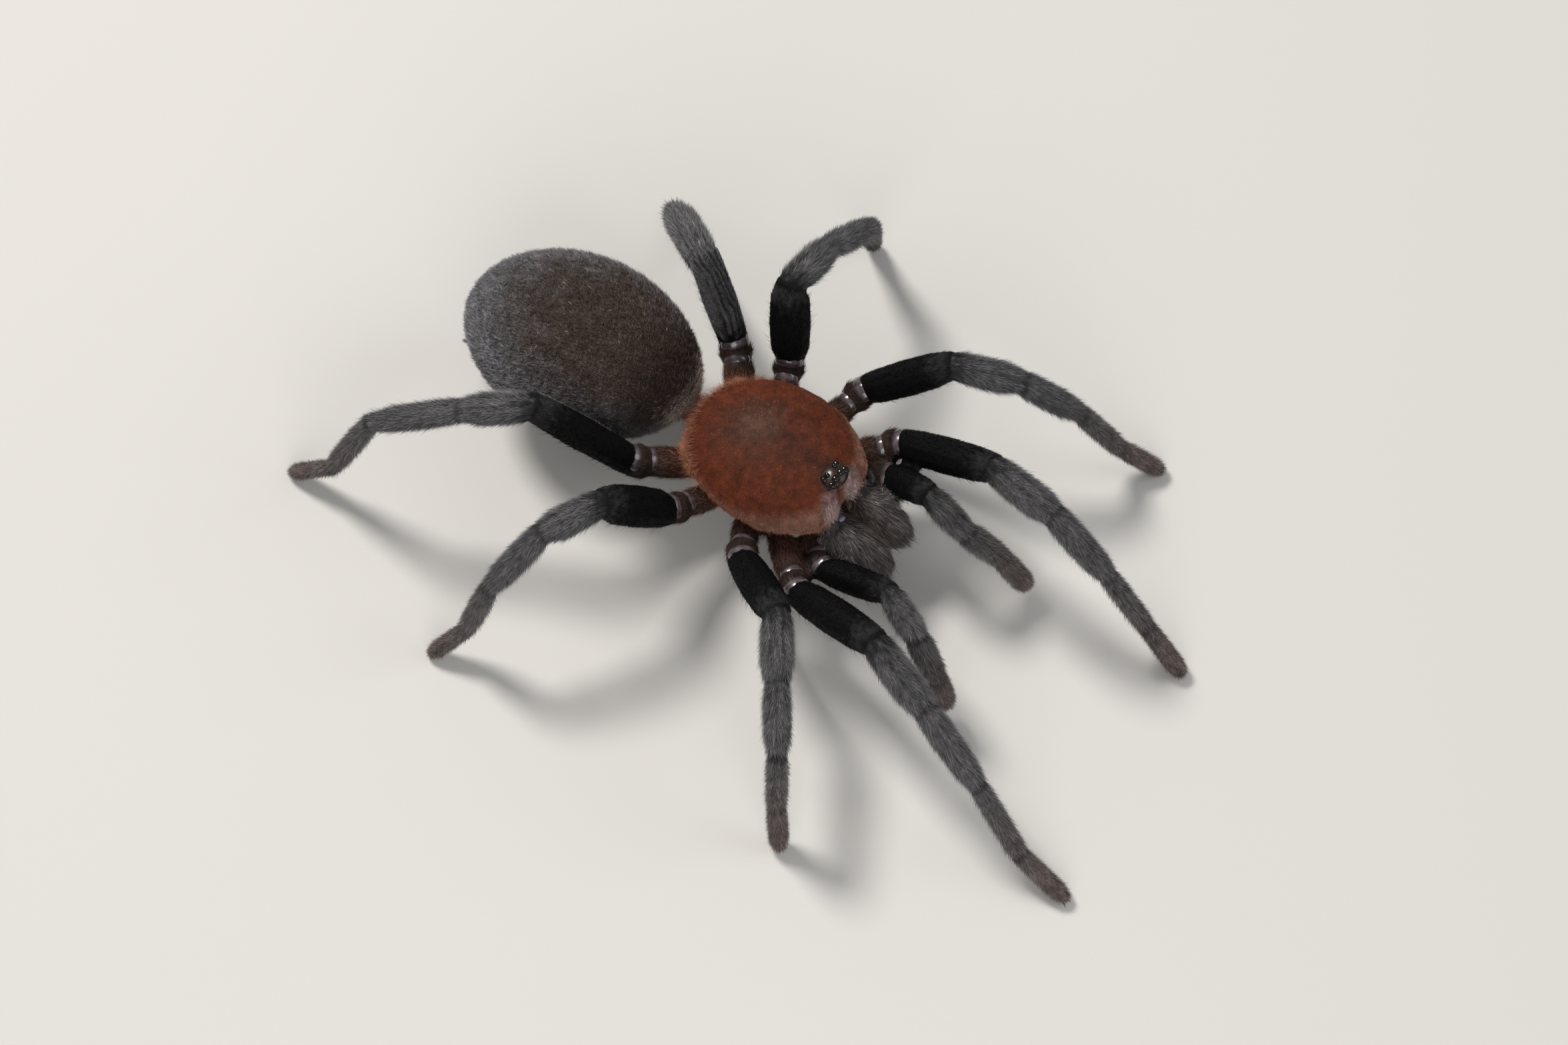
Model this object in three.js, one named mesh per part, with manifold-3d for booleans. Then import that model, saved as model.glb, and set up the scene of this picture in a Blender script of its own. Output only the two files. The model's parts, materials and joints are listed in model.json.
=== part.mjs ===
// A life-size ground tarantula in a calm standing pose, as faceted solids in millimetres, +Z up.
// The animal faces -Y and its left side is +X. The floor is z = 0, and the origin is on the floor
// under the middle of the whole model. Every solid's surface is the outline of the hairy coat.
import * as THREE from "three";
import { mergeVertices } from "three/addons/utils/BufferGeometryUtils.js";
import Module from "manifold-3d";

const wasm = await Module();
wasm.setup();

// ---------------------------------------------------------------- driving dimensions

const RIM_HEIGHT = 10.3; // edge of the carapace above the floor
const NOSE_DROP_DEG = 2; // the forebody leans a little forward
const PARTING = 0.14; // thin cut between two neighbouring solids
const LIMB_SIDES = 10; // facets round a limb
const TOE_SINK = 0.18; // how much of each toe pad the floor flattens

const CARAPACE = { length: 18, width: 14.8, forward: 0.6, dome: 4.3, rim: 0.7, sides: 28 };
const FACE = { forward: 8.0, leanDeg: 12 }; // the short steep front of the carapace, over the jaws
const ABDOMEN = { length: 24.2, width: 17.8, height: 15, behind: 20.7, centreHeight: 10.6, turnDeg: 6.5 };
const PEDICEL = { radius: 1.25, front: 7.5, back: 11, height: 8.2 };
const CORE = { length: 13.6, width: 11.4, top: -0.9, bottom: -6.1 };
const EYE_MOUND = { forward: 6.8, length: 2.2, width: 2.6, height: 1.05, slope: 0.81, sink: 0.2 };
const CHELICERA = { spacing: 4.1, reach: { left: -0.3, right: 0.3 } }; // one is held a little further out
const FANG = { length: 5.2, radius: 0.62, forward: 13.2 };
const SPINNERET = { length: 4.4, radius: 0.72, spacing: 3.0 };

// Length of each limb segment, and half its width at the outline of the coat.
const SEGMENTS = ["coxa", "trochanter", "femur", "patella", "tibia", "metatarsus", "tarsus"];
const LIMB_KINDS = {
  palp: {
    lengths: { femur: 8.6, patella: 5.1, tibia: 5.5, tarsus: 5.1 },
    girths: { coxa: 1.32, trochanter: 1.3, femur: 1.5, patella: 1.42, tibia: 1.35, tarsus: 1.25 },
  },
  leg1: {
    lengths: { femur: 12.3, patella: 7.4, tibia: 8.2, metatarsus: 7.9, tarsus: 6.2 },
    girths: {
      coxa: 1.4, trochanter: 1.62, femur: 1.78, patella: 1.7, tibia: 1.45, metatarsus: 1.15, tarsus: 1.12,
    },
  },
  leg2: {
    lengths: { femur: 10.7, patella: 6.5, tibia: 6.9, metatarsus: 7.7, tarsus: 5.8 },
    girths: {
      coxa: 1.4, trochanter: 1.62, femur: 1.78, patella: 1.65, tibia: 1.42, metatarsus: 1.15, tarsus: 1.1,
    },
  },
  leg3: {
    lengths: { femur: 9.5, patella: 5.9, tibia: 7.0, metatarsus: 8.3, tarsus: 5.7 },
    girths: {
      coxa: 1.4, trochanter: 1.62, femur: 1.98, patella: 1.66, tibia: 1.4, metatarsus: 1.14, tarsus: 1.02,
    },
  },
  leg4: {
    lengths: { femur: 12.0, patella: 6.5, tibia: 9.0, metatarsus: 11.1, tarsus: 6.3 },
    girths: {
      coxa: 1.55, trochanter: 1.7, femur: 1.85, patella: 1.68, tibia: 1.42, metatarsus: 1.15, tarsus: 1.0,
    },
    femurSlimness: 0.86,
  },
};
const TROCHANTER_LENGTH = 1.9;

// The pose of each limb. root is where the coxa starts and hip where the femur starts, each as
// [forward, outward, above the carapace edge]. swing is the compass direction of each segment from
// the femur out, in degrees from straight ahead towards the limb's own side. lift is the angle above
// the horizon of each segment from the femur to the last but two. ankle is the height of the last
// joint, and toe that of the tip's centre, which on a leg follows from the pad under it.
const POSES = {
  palp_left: {
    kind: "palp", side: 1, root: [5.9, 2.2, -4.0], hip: [9.15, 5.82, -2.85],
    swing: [-21, 3, 28, 14], lift: [45, -40], ankle: 5.7, toe: 1.6,
  },
  palp_right: {
    kind: "palp", side: -1, root: [5.9, 2.2, -4.0], hip: [9.6, 5.6, -2.8],
    swing: [1, 26, 6, -4], lift: [29, 4], ankle: 6.75, toe: 1.85,
  },
  leg_left_1: {
    kind: "leg1", side: 1, root: [3.4, 4.0, -3.9], hip: [8.3, 8.8, -2.0],
    swing: [-2, -9, 2, 10, -8], lift: [34, 8, -42], ankle: 3.8,
  },
  leg_left_2: {
    kind: "leg2", side: 1, root: [0.7, 4.4, -3.8], hip: [2.4, 11.2, -2.0],
    swing: [26, 26, 24, 36, 26], lift: [42, -10, -34], ankle: 3.8,
  },
  leg_left_3: {
    kind: "leg3", side: 1, root: [-2.3, 4.1, -3.8], hip: [-4.9, 9.7, -2.0],
    swing: [126, 88, 84, 124, 114], lift: [73, -10, -33], ankle: 5.2,
  },
  leg_left_4: {
    kind: "leg4", side: 1, root: [-4.9, 2.7, -3.6], hip: [-10.0, 8.0, -1.6],
    swing: [172, 152, 184, 136, 134], lift: [72, -15, -112], ankle: 2.4,
  },
  leg_right_1: {
    kind: "leg1", side: -1, root: [3.4, 4.0, -3.9], hip: [9.2, 8.9, -2.4],
    swing: [14, 15, 16, 12, 3], lift: [30, -18, -23], ankle: 2.8,
  },
  leg_right_2: {
    kind: "leg2", side: -1, root: [0.7, 4.4, -3.8], hip: [3.4, 9.4, -2.0],
    swing: [33, 54, 54, 58, 46], lift: [33, -5, -4], ankle: 5.4,
  },
  leg_right_3: {
    kind: "leg3", side: -1, root: [-2.3, 4.1, -3.8], hip: [-4.5, 9.5, -1.5],
    swing: [119, 115, 106, 137, 134], lift: [46, -2, -29], ankle: 4.3,
  },
  leg_right_4: {
    kind: "leg4", side: -1, root: [-4.9, 2.7, -3.6], hip: [-10.1, 7.9, -0.8],
    swing: [151, 147, 146, 153, 164], lift: [45, -11, -18], ankle: 4.2,
  },
};

// Rings along each segment, as [share of its length, share of its half width].
const SEGMENT_RINGS = {
  coxa: [[0.4, 1.0], [0.8, 1.06]],
  trochanter: [[0.5, 1.06]],
  femur: [[0.2, 1.0], [0.5, 1.07], [0.8, 1.02]],
  patella: [[0.34, 1.03], [0.72, 1.05]],
  tibia: [[0.3, 1.04], [0.75, 1.0]],
  metatarsus: [[0.3, 1.0], [0.75, 0.97]],
  tarsus: [[0.3, 1.02], [0.75, 1.0], [0.95, 0.7]],
};
const JOINT_NARROWING = 0.96;
const TIP_SIZE = 0.35;
const MOST_ELBOW_SPREAD = 1.25;

const COLOURS = {
  rust: 0x6e2413, velvet: 0x0b0b0c, slate: 0x4a4c50, brown: 0x2b1c16, grey: 0x47454a, black: 0x080707,
};

// ---------------------------------------------------------------- helpers

const UP = new THREE.Vector3(0, 0, 1);
const NOSE_DROP = THREE.MathUtils.degToRad(NOSE_DROP_DEG);

// A place given as forward, leftward and above the carapace's edge, in the leaning forebody.
function bodyPoint(forward, left, above) {
  const ahead = forward * Math.cos(NOSE_DROP) + above * Math.sin(NOSE_DROP);
  const raised = above * Math.cos(NOSE_DROP) - forward * Math.sin(NOSE_DROP);
  return new THREE.Vector3(left, -ahead, RIM_HEIGHT + raised);
}

// A unit direction from a compass swing and a lift, both in degrees, for a limb of this side.
function direction(side, swingDeg, liftDeg) {
  const swing = THREE.MathUtils.degToRad(swingDeg);
  const lift = THREE.MathUtils.degToRad(liftDeg);
  const level = Math.cos(lift);
  return new THREE.Vector3(side * level * Math.sin(swing), -level * Math.cos(swing), Math.sin(lift));
}

// A closed tube through rings of { centre, along, side, width, top, bottom }.
function loft(rings, sides = LIMB_SIDES) {
  const tube = new THREE.CylinderGeometry(1, 1, 1, sides, rings.length - 1);
  const places = tube.getAttribute("position");
  const local = new THREE.Vector3();
  for (let i = 0; i < places.count; i += 1) {
    local.fromBufferAttribute(places, i);
    const ring = rings[Math.round((local.y + 0.5) * (rings.length - 1))];
    const up = new THREE.Vector3().crossVectors(ring.side, ring.along).normalize();
    const placed = ring.centre
      .clone()
      .addScaledVector(ring.side, local.x * ring.width)
      .addScaledVector(up, local.z * (local.z > 0 ? ring.top : ring.bottom));
    places.setXYZ(i, placed.x, placed.y, placed.z);
  }
  return tube;
}

function ringAt(centre, along, width, top = width, bottom = top) {
  const side = new THREE.Vector3().crossVectors(along, UP).normalize();
  return { centre, along: along.clone().normalize(), side, width, top, bottom };
}

function toSolid(geometry) {
  const bare = geometry.clone();
  bare.deleteAttribute("normal");
  bare.deleteAttribute("uv");
  const merged = mergeVertices(bare, 1e-4);
  return new wasm.Manifold(
    new wasm.Mesh({
      numProp: 3,
      vertProperties: merged.getAttribute("position").array,
      triVerts: new Uint32Array(merged.index.array),
    }),
  );
}

function toGeometry(solid) {
  const mesh = solid.getMesh();
  const geometry = new THREE.BufferGeometry();
  geometry.setAttribute("position", new THREE.BufferAttribute(mesh.vertProperties, 3));
  geometry.setIndex(new THREE.BufferAttribute(mesh.triVerts, 1));
  geometry.computeVertexNormals();
  return geometry;
}

// The biggest body of a solid that a cut has left in pieces.
function largestOf(solid) {
  return solid.decompose().sort((a, b) => b.volume() - a.volume())[0];
}

function colouredMesh(name, geometry, colour, roughness) {
  const material = new THREE.MeshStandardMaterial({ color: colour, roughness, metalness: 0 });
  const mesh = new THREE.Mesh(geometry, material);
  mesh.name = name;
  return mesh;
}

// ---------------------------------------------------------------- limbs

// How high a leg's tip must be for the pad of a tarsus that slopes down from the ankle to meet the floor.
function toeHeight(kind, ankle) {
  const length = kind.lengths.tarsus;
  const slope = Math.asin(ankle / length);
  const [padShare, padSize] = SEGMENT_RINGS.tarsus[SEGMENT_RINGS.tarsus.length - 1];
  const padDepth = padSize * kind.girths.tarsus * Math.cos(slope) - (1 - padShare) * length * Math.sin(slope);
  return Math.max(padDepth, TIP_SIZE * kind.girths.tarsus * Math.cos(slope)) - TOE_SINK;
}

// The joints of one limb, from the coxa's root to the toe.
function limbJoints(pose) {
  const kind = LIMB_KINDS[pose.kind];
  const names = SEGMENTS.filter((name) => name in kind.girths);
  const root = bodyPoint(pose.root[0], pose.side * pose.root[1], pose.root[2]);
  const hip = bodyPoint(pose.hip[0], pose.side * pose.hip[1], pose.hip[2]);
  const outwards = hip.clone().sub(root).normalize();
  const joints = [root, hip.clone().addScaledVector(outwards, -TROCHANTER_LENGTH), hip];
  const toe = pose.toe ?? toeHeight(kind, pose.ankle);
  for (const name of names.slice(2)) {
    const from = joints[joints.length - 1];
    const length = kind.lengths[name];
    const index = names.indexOf(name) - 2;
    const goal = name === "tarsus" ? toe : pose.ankle;
    const drop = THREE.MathUtils.radToDeg(Math.asin((goal - from.z) / length));
    const way = direction(pose.side, pose.swing[index], pose.lift[index] ?? drop);
    joints.push(from.clone().addScaledVector(way, length));
  }
  return { names, joints, kind };
}

// The cross-section where two segments meet, in the plane that halves their bend.
function elbowRing(joint, before, after, girth, sideHint) {
  const along = before.clone().add(after).normalize();
  const spread = Math.min(1 / Math.max(along.dot(before), 0.1), MOST_ELBOW_SPREAD);
  const side = sideHint.clone().addScaledVector(along, -sideHint.dot(along)).normalize();
  return { centre: joint, along, side, width: girth, top: girth, bottom: girth * spread };
}

function limbRings(pose, extra = 0) {
  const { names, joints, kind } = limbJoints(pose);
  const ways = names.map((_, i) => joints[i + 1].clone().sub(joints[i]).normalize());
  const outwards = joints[2].clone().sub(joints[0]).setZ(0).normalize();
  const headings = names.map((_, i) => (i < 2 ? outwards : direction(pose.side, pose.swing[i - 2], 0)));
  const sides = headings.map((heading) => new THREE.Vector3().crossVectors(heading, UP).normalize());
  const segments = {};
  names.forEach((name, i) => {
    const girth = kind.girths[name] + extra;
    const slimness = name === "femur" ? kind.femurSlimness ?? 1 : 1;
    segments[name] = SEGMENT_RINGS[name].map(([share, size]) => ({
      centre: joints[i].clone().lerp(joints[i + 1], share),
      along: ways[i],
      side: sides[i],
      width: girth * size * slimness,
      top: girth * size,
      bottom: girth * size,
    }));
  });
  const elbows = names.map((name, i) => {
    if (i === 0) {
      const start = kind.girths[name] * 0.75 + extra;
      return { centre: joints[0], along: ways[0], side: sides[0], width: start, top: start, bottom: start };
    }
    const girth = JOINT_NARROWING * Math.min(kind.girths[names[i - 1]], kind.girths[name]) + extra;
    const middle = sides[i - 1].clone().add(sides[i]).normalize();
    return elbowRing(joints[i], ways[i - 1], ways[i], girth, middle);
  });
  const tipGirth = kind.girths.tarsus * TIP_SIZE;
  const last = names.length - 1;
  elbows.push({
    centre: joints[last + 1], along: ways[last], side: sides[last], width: tipGirth, top: tipGirth, bottom: tipGirth,
  });
  return { names, segments, elbows };
}

function shifted(ring, distance) {
  return { ...ring, centre: ring.centre.clone().addScaledVector(ring.along, distance) };
}

// The solid of some neighbouring segments of a limb, parted from the next ones by a thin cut.
function limbPiece(rings, from, to) {
  const first = rings.names.indexOf(from);
  const last = rings.names.indexOf(to);
  const chain = [shifted(rings.elbows[first], PARTING / 2)];
  for (let i = first; i <= last; i += 1) {
    chain.push(...rings.segments[rings.names[i]]);
    if (i < last) chain.push(rings.elbows[i + 1]);
  }
  chain.push(shifted(rings.elbows[last + 1], -PARTING / 2));
  return loft(chain);
}

function cutAtFloor(geometry) {
  const below = new THREE.BoxGeometry(400, 400, 40).translate(0, 0, -20);
  return toGeometry(toSolid(geometry).subtract(toSolid(below)));
}

function buildLimb(name, pose) {
  const rings = limbRings(pose);
  const isLeg = pose.kind !== "palp";
  const pieces = isLeg
    ? [["hip", "coxa", "trochanter"], ["femur", "femur", "femur"], ["shin", "patella", "tibia"],
      ["foot", "metatarsus", "tarsus"]]
    : [["hip", "coxa", "trochanter"], ["femur", "femur", "femur"], ["patella", "patella", "patella"],
      ["tarsus", "tibia", "tarsus"]];
  const looks = { hip: [COLOURS.brown, 0.3], femur: [COLOURS.velvet, 0.8] };
  return pieces.map(([part, from, to]) => {
    const shape = limbPiece(rings, from, to);
    const [colour, roughness] = looks[part] ?? [COLOURS.slate, 0.75];
    return colouredMesh(`${name}_${part}`, isLeg && part === "foot" ? cutAtFloor(shape) : shape, colour, roughness);
  });
}

// ---------------------------------------------------------------- forebody

// Half the carapace's length and width at a bearing from its centre, blunt in front.
function carapaceOutline(bearing) {
  const ahead = Math.cos(bearing);
  const aside = Math.sin(bearing);
  const bluntness = ahead > 0 ? 0.8 : 0.95;
  const forward = (CARAPACE.length / 2) * Math.sign(ahead) * Math.abs(ahead) ** bluntness;
  const waist = 1 - 0.2 * THREE.MathUtils.smoothstep(ahead, 0.05, 0.95);
  const left = (CARAPACE.width / 2) * Math.sign(aside) * Math.abs(aside) ** bluntness * waist;
  return [forward, left];
}

// How high the back stands over the carapace's edge: highest in front, sloping down behind.
function carapaceHeight(forward) {
  const share = forward / (CARAPACE.length / 2);
  return CARAPACE.dome * (1 - 0.3 * THREE.MathUtils.smoothstep(-share, -0.1, 1.0));
}

function carapaceShape() {
  const profile = [[0, 1], [0.22, 0.99], [0.44, 0.94], [0.64, 0.83], [0.8, 0.64], [0.92, 0.38], [1, 0.08]];
  const points = profile.map(([reach, height]) => new THREE.Vector2(reach, height));
  points.push(new THREE.Vector2(0.985, -1), new THREE.Vector2(0, -1));
  points.reverse();
  const dome = new THREE.LatheGeometry(points, CARAPACE.sides);
  const places = dome.getAttribute("position");
  for (let i = 0; i < places.count; i += 1) {
    const [x, height, z] = [places.getX(i), places.getY(i), places.getZ(i)];
    const reach = Math.hypot(x, z);
    const [forward, left] = carapaceOutline(Math.atan2(x, z));
    const edge = height < 0 ? -CARAPACE.rim : height * carapaceHeight(forward * reach);
    const placed = bodyPoint(CARAPACE.forward + forward * reach, left * reach, edge);
    places.setXYZ(i, placed.x, placed.y, placed.z);
  }
  return dome;
}

// All the room ahead of the carapace's steep face.
function roomAhead() {
  const room = new THREE.BoxGeometry(30, 20, 20).translate(0, -10, 0);
  const edge = bodyPoint(FACE.forward, 0, 0);
  return toSolid(room.rotateX(-THREE.MathUtils.degToRad(FACE.leanDeg)).translate(edge.x, edge.y, edge.z));
}

function ellipsoid(centre, [forward, left, above], [around, down]) {
  return new THREE.SphereGeometry(1, around, down)
    .scale(left, forward, above)
    .rotateX(NOSE_DROP)
    .translate(centre.x, centre.y, centre.z);
}

// Eight eyes on the mound: [forward, leftward, length, width], in millimetres from its middle.
const EYES = {
  front_middle: [0.42, 0.4, 0.62, 0.62],
  front_side: [0.5, 0.98, 0.74, 0.56],
  back_side: [-0.42, 0.98, 0.66, 0.5],
  back_middle: [-0.4, 0.56, 0.46, 0.38],
};

function moundCentre() {
  return bodyPoint(EYE_MOUND.forward, 0, carapaceHeight(EYE_MOUND.forward) * EYE_MOUND.slope - EYE_MOUND.sink);
}

function eyeShape([forward, left, length, width], side, extra = 0) {
  const across = (2 * left) / EYE_MOUND.width;
  const along = (2 * forward) / EYE_MOUND.length;
  const rise = EYE_MOUND.height * Math.sqrt(Math.max(1 - across ** 2 * 0.8 - along ** 2 * 0.8, 0.05));
  const centre = moundCentre().add(new THREE.Vector3(side * left, -forward, rise));
  return ellipsoid(centre, [length / 2 + extra, width / 2 + extra, 0.26 + extra], [8, 6]);
}

function buildHead() {
  const mound = ellipsoid(
    moundCentre(), [EYE_MOUND.length / 2, EYE_MOUND.width / 2, EYE_MOUND.height], [16, 10],
  );
  let shield = toSolid(carapaceShape()).subtract(roomAhead()).add(toSolid(mound));
  const meshes = [];
  for (const [place, sizes] of Object.entries(EYES)) {
    for (const side of [1, -1]) {
      shield = shield.subtract(toSolid(eyeShape(sizes, side, 0.03)));
      const name = `eye_${side > 0 ? "left" : "right"}_${place}`;
      meshes.push(colouredMesh(name, eyeShape(sizes, side), COLOURS.black, 0.1));
    }
  }
  meshes.push(colouredMesh("carapace", toGeometry(shield), COLOURS.rust, 0.7));
  return meshes;
}

// A solid less the room that the hips of some limbs take up, with a thin gap round them.
function hollowedForHips(solid, poses) {
  const hips = poses.map((pose) => {
    const rings = limbRings(pose, PARTING);
    const start = shifted(rings.elbows[0], -PARTING);
    return toSolid(loft([start, ...rings.segments.coxa, rings.elbows[1], ...rings.segments.trochanter, rings.elbows[2]]));
  });
  return largestOf(hips.reduce((left, hip) => left.subtract(hip), solid));
}

// The breast plate with the soft walls between it and the carapace, hollowed round the coxae.
function buildSternum() {
  const height = CORE.top - CORE.bottom;
  const shape = ellipsoid(bodyPoint(-0.4, 0, CORE.bottom + height), [CORE.length / 2, CORE.width / 2, height], [20, 12]);
  const lid = new THREE.BoxGeometry(60, 60, 20).rotateX(NOSE_DROP);
  const roof = bodyPoint(0, 0, CORE.top + 10);
  const solid = toSolid(shape).subtract(toSolid(lid.translate(roof.x, roof.y, roof.z)));
  const plate = hollowedForHips(solid, Object.values(POSES));
  return colouredMesh("sternum", toGeometry(plate), COLOURS.brown, 0.6);
}

// ---------------------------------------------------------------- jaws

function buildJaw(side) {
  const middle = (CHELICERA.spacing / 2) * side;
  const word = side > 0 ? "left" : "right";
  // [forward, above the carapace's edge, half width, height above and below the middle line]
  const stations = [
    [7.6, -3.1, 1.85, 1.9, 2.1], [9.1, -2.6, 2.0, 2.3, 2.7], [10.7, -2.6, 2.0, 2.5, 2.9],
    [12.1, -3.2, 1.98, 2.3, 2.6], [13.2, -4.2, 1.65, 1.8, 1.7], [13.6, -5.1, 1.0, 1.0, 0.9],
  ];
  const reach = CHELICERA.reach[word];
  const centres = stations.map(([forward, above], i) => bodyPoint(forward + reach * Math.min(i / 3, 1), middle, above));
  const jawRings = (extra) =>
    stations.map(([, , width, top, bottom], i) => {
      const along = centres[Math.min(i + 1, 5)].clone().sub(centres[Math.max(i - 1, 0)]);
      return ringAt(centres[i], along, width + extra, top + extra, bottom + extra);
    });
  const jaw = hollowedForHips(toSolid(loft(jawRings(0), 14)), [POSES[`palp_${word}`]]);
  const arc = new THREE.QuadraticBezierCurve3(
    bodyPoint(FANG.forward + reach, middle, -5.2),
    bodyPoint(FANG.forward + reach, middle * 0.9, -7.9),
    bodyPoint(FANG.forward + reach - FANG.length * 0.85, middle * 0.6, -7.0),
  );
  const fangRings = [0, 0.25, 0.5, 0.75, 0.94, 1].map((share) => {
    const size = FANG.radius * (1 - share ** 1.6) + 0.06;
    return ringAt(arc.getPoint(share), arc.getTangent(share), size);
  });
  const fang = largestOf(toSolid(loft(fangRings, 10)).subtract(toSolid(loft(jawRings(PARTING / 2), 14))));
  return [
    colouredMesh(`chelicera_${word}`, toGeometry(jaw), COLOURS.grey, 0.75),
    colouredMesh(`fang_${word}`, toGeometry(fang), COLOURS.black, 0.15),
  ];
}

// ---------------------------------------------------------------- hind body

// The hind body hangs a little to the animal's right of its waist.
function turnedBehind(geometry) {
  return geometry
    .translate(0, -PEDICEL.back, 0)
    .rotateZ(THREE.MathUtils.degToRad(ABDOMEN.turnDeg))
    .translate(0, PEDICEL.back, 0);
}

function eggShape(extra = 0) {
  const egg = new THREE.SphereGeometry(1, 24, 16).rotateZ(Math.PI);
  const places = egg.getAttribute("position");
  for (let i = 0; i < places.count; i += 1) {
    const [x, back, z] = [places.getX(i), places.getY(i), places.getZ(i)];
    const fullness = 1 + 0.02 * back - 0.05 * back ** 2;
    const flatBelly = z < 0 ? 0.94 : 1;
    places.setXYZ(
      i,
      x * (ABDOMEN.width / 2 + extra) * fullness,
      ABDOMEN.behind + back * (ABDOMEN.length / 2 + extra),
      ABDOMEN.centreHeight + z * (ABDOMEN.height / 2 + extra) * fullness * flatBelly,
    );
  }
  return turnedBehind(egg);
}

function buildAbdomen() {
  const front = new THREE.Vector3(0, PEDICEL.front, PEDICEL.height);
  const back = new THREE.Vector3(0, PEDICEL.back, PEDICEL.height + 0.5);
  const along = back.clone().sub(front);
  const waist = loft([0, 0.5, 1].map((share) => ringAt(front.clone().lerp(back, share), along, PEDICEL.radius)));
  return colouredMesh("abdomen", toGeometry(toSolid(eggShape()).add(toSolid(waist))), COLOURS.slate, 0.85);
}

function buildSpinneret(side) {
  const back = ABDOMEN.behind + ABDOMEN.length / 2;
  const start = new THREE.Vector3((side * SPINNERET.spacing) / 2, back - 3.4, ABDOMEN.centreHeight - 4.2);
  const along = new THREE.Vector3(side * 0.12, 0.72, -0.5).normalize();
  const rings = [[0, 0.9], [0.3, 1.05], [0.45, 0.85], [0.62, 0.9], [0.76, 0.7], [0.94, 0.5], [1, 0.25]].map(
    ([share, size]) => {
      const centre = start.clone().addScaledVector(along, share * SPINNERET.length);
      return ringAt(centre, along, SPINNERET.radius * size);
    },
  );
  const finger = toSolid(turnedBehind(loft(rings, 8))).subtract(toSolid(eggShape(PARTING / 2)));
  const name = `spinneret_${side > 0 ? "left" : "right"}`;
  return colouredMesh(name, toGeometry(largestOf(finger)), COLOURS.slate, 0.8);
}

// ---------------------------------------------------------------- the whole animal

const animal = new THREE.Group();
animal.add(...buildHead(), buildSternum(), buildAbdomen());
for (const side of [1, -1]) animal.add(...buildJaw(side), buildSpinneret(side));
for (const [name, pose] of Object.entries(POSES)) animal.add(...buildLimb(name, pose));

const box = new THREE.Box3().setFromObject(animal, true);
animal.position.set(-(box.min.x + box.max.x) / 2, -(box.min.y + box.max.y) / 2, -box.min.z);

const model = new THREE.Group();
model.add(animal);
export default model;
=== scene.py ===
import json
import math

import bmesh
import bpy
import numpy as np
from bpy.props import FloatProperty, FloatVectorProperty, IntProperty, PointerProperty
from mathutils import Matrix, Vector
from mathutils.bvhtree import BVHTree

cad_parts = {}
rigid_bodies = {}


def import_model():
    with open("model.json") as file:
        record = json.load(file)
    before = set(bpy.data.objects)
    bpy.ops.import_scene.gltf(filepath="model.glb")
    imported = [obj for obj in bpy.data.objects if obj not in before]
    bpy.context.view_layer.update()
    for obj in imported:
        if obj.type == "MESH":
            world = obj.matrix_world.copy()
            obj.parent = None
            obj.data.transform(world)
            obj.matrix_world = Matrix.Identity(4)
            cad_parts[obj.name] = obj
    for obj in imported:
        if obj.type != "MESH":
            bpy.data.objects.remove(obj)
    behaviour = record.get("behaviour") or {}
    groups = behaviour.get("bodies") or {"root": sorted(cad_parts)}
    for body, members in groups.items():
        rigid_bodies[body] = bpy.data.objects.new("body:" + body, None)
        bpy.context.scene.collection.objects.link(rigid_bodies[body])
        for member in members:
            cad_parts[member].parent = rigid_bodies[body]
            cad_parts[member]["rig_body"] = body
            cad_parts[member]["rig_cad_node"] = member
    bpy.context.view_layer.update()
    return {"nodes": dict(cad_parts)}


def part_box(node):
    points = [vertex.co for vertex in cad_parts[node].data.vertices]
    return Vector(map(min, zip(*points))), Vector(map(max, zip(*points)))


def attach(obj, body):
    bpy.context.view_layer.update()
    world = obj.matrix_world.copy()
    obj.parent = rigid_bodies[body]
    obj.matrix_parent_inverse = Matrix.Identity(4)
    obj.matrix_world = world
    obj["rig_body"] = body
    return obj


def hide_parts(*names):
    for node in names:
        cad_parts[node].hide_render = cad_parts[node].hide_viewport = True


bl_info = {
    "name": "Tarantula finish",
    "version": (1, 0, 0),
    "blender": (4, 5, 0),
    "location": "3D View > Sidebar > Tarantula",
    "description": "Skin, coat, eyes and claws of a life-size tarantula over its CAD frame",
    "category": "Object",
}

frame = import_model()

# ---------------------------------------------------------------- names and sizes, in millimetres

MM = 0.001
SIDES = {"left": 1.0, "right": -1.0}
LEGS = [f"leg_{side}_{number}" for side in SIDES for number in (1, 2, 3, 4)]
PALPS = [f"palp_{side}" for side in SIDES]
LIMBS = LEGS + PALPS
LEG_NODES = ("hip", "femur", "shin", "foot")
PALP_NODES = ("hip", "femur", "patella", "tarsus")
TROCHANTER_LENGTH = 1.9
# The share of a node's length at which its first segment ends.
SHIN_SHARE = {"1": 0.474, "2": 0.485, "3": 0.457, "4": 0.42}
FOOT_SHARE = {"1": 0.56, "2": 0.57, "3": 0.593, "4": 0.638}
PALP_TIP_SHARE = 0.52

HIP_ZONES = ["coxa", "trochanter"]
SHIN_ZONES = ["patella", "tibia", "metatarsus", "tarsus"]
LIMB_ZONES = [*HIP_ZONES, "femur", *SHIN_ZONES]
ZONES = ["abdomen", "carapace", "sternum", "jaw", "spinneret", *LIMB_ZONES]
ZONE = {name: index for index, name in enumerate(ZONES)}
BODY_ZONES = {
    "abdomen": "abdomen",
    "carapace": "carapace",
    "sternum": "sternum",
    "chelicera_left": "jaw",
    "chelicera_right": "jaw",
    "spinneret_left": "spinneret",
    "spinneret_right": "spinneret",
}

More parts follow.
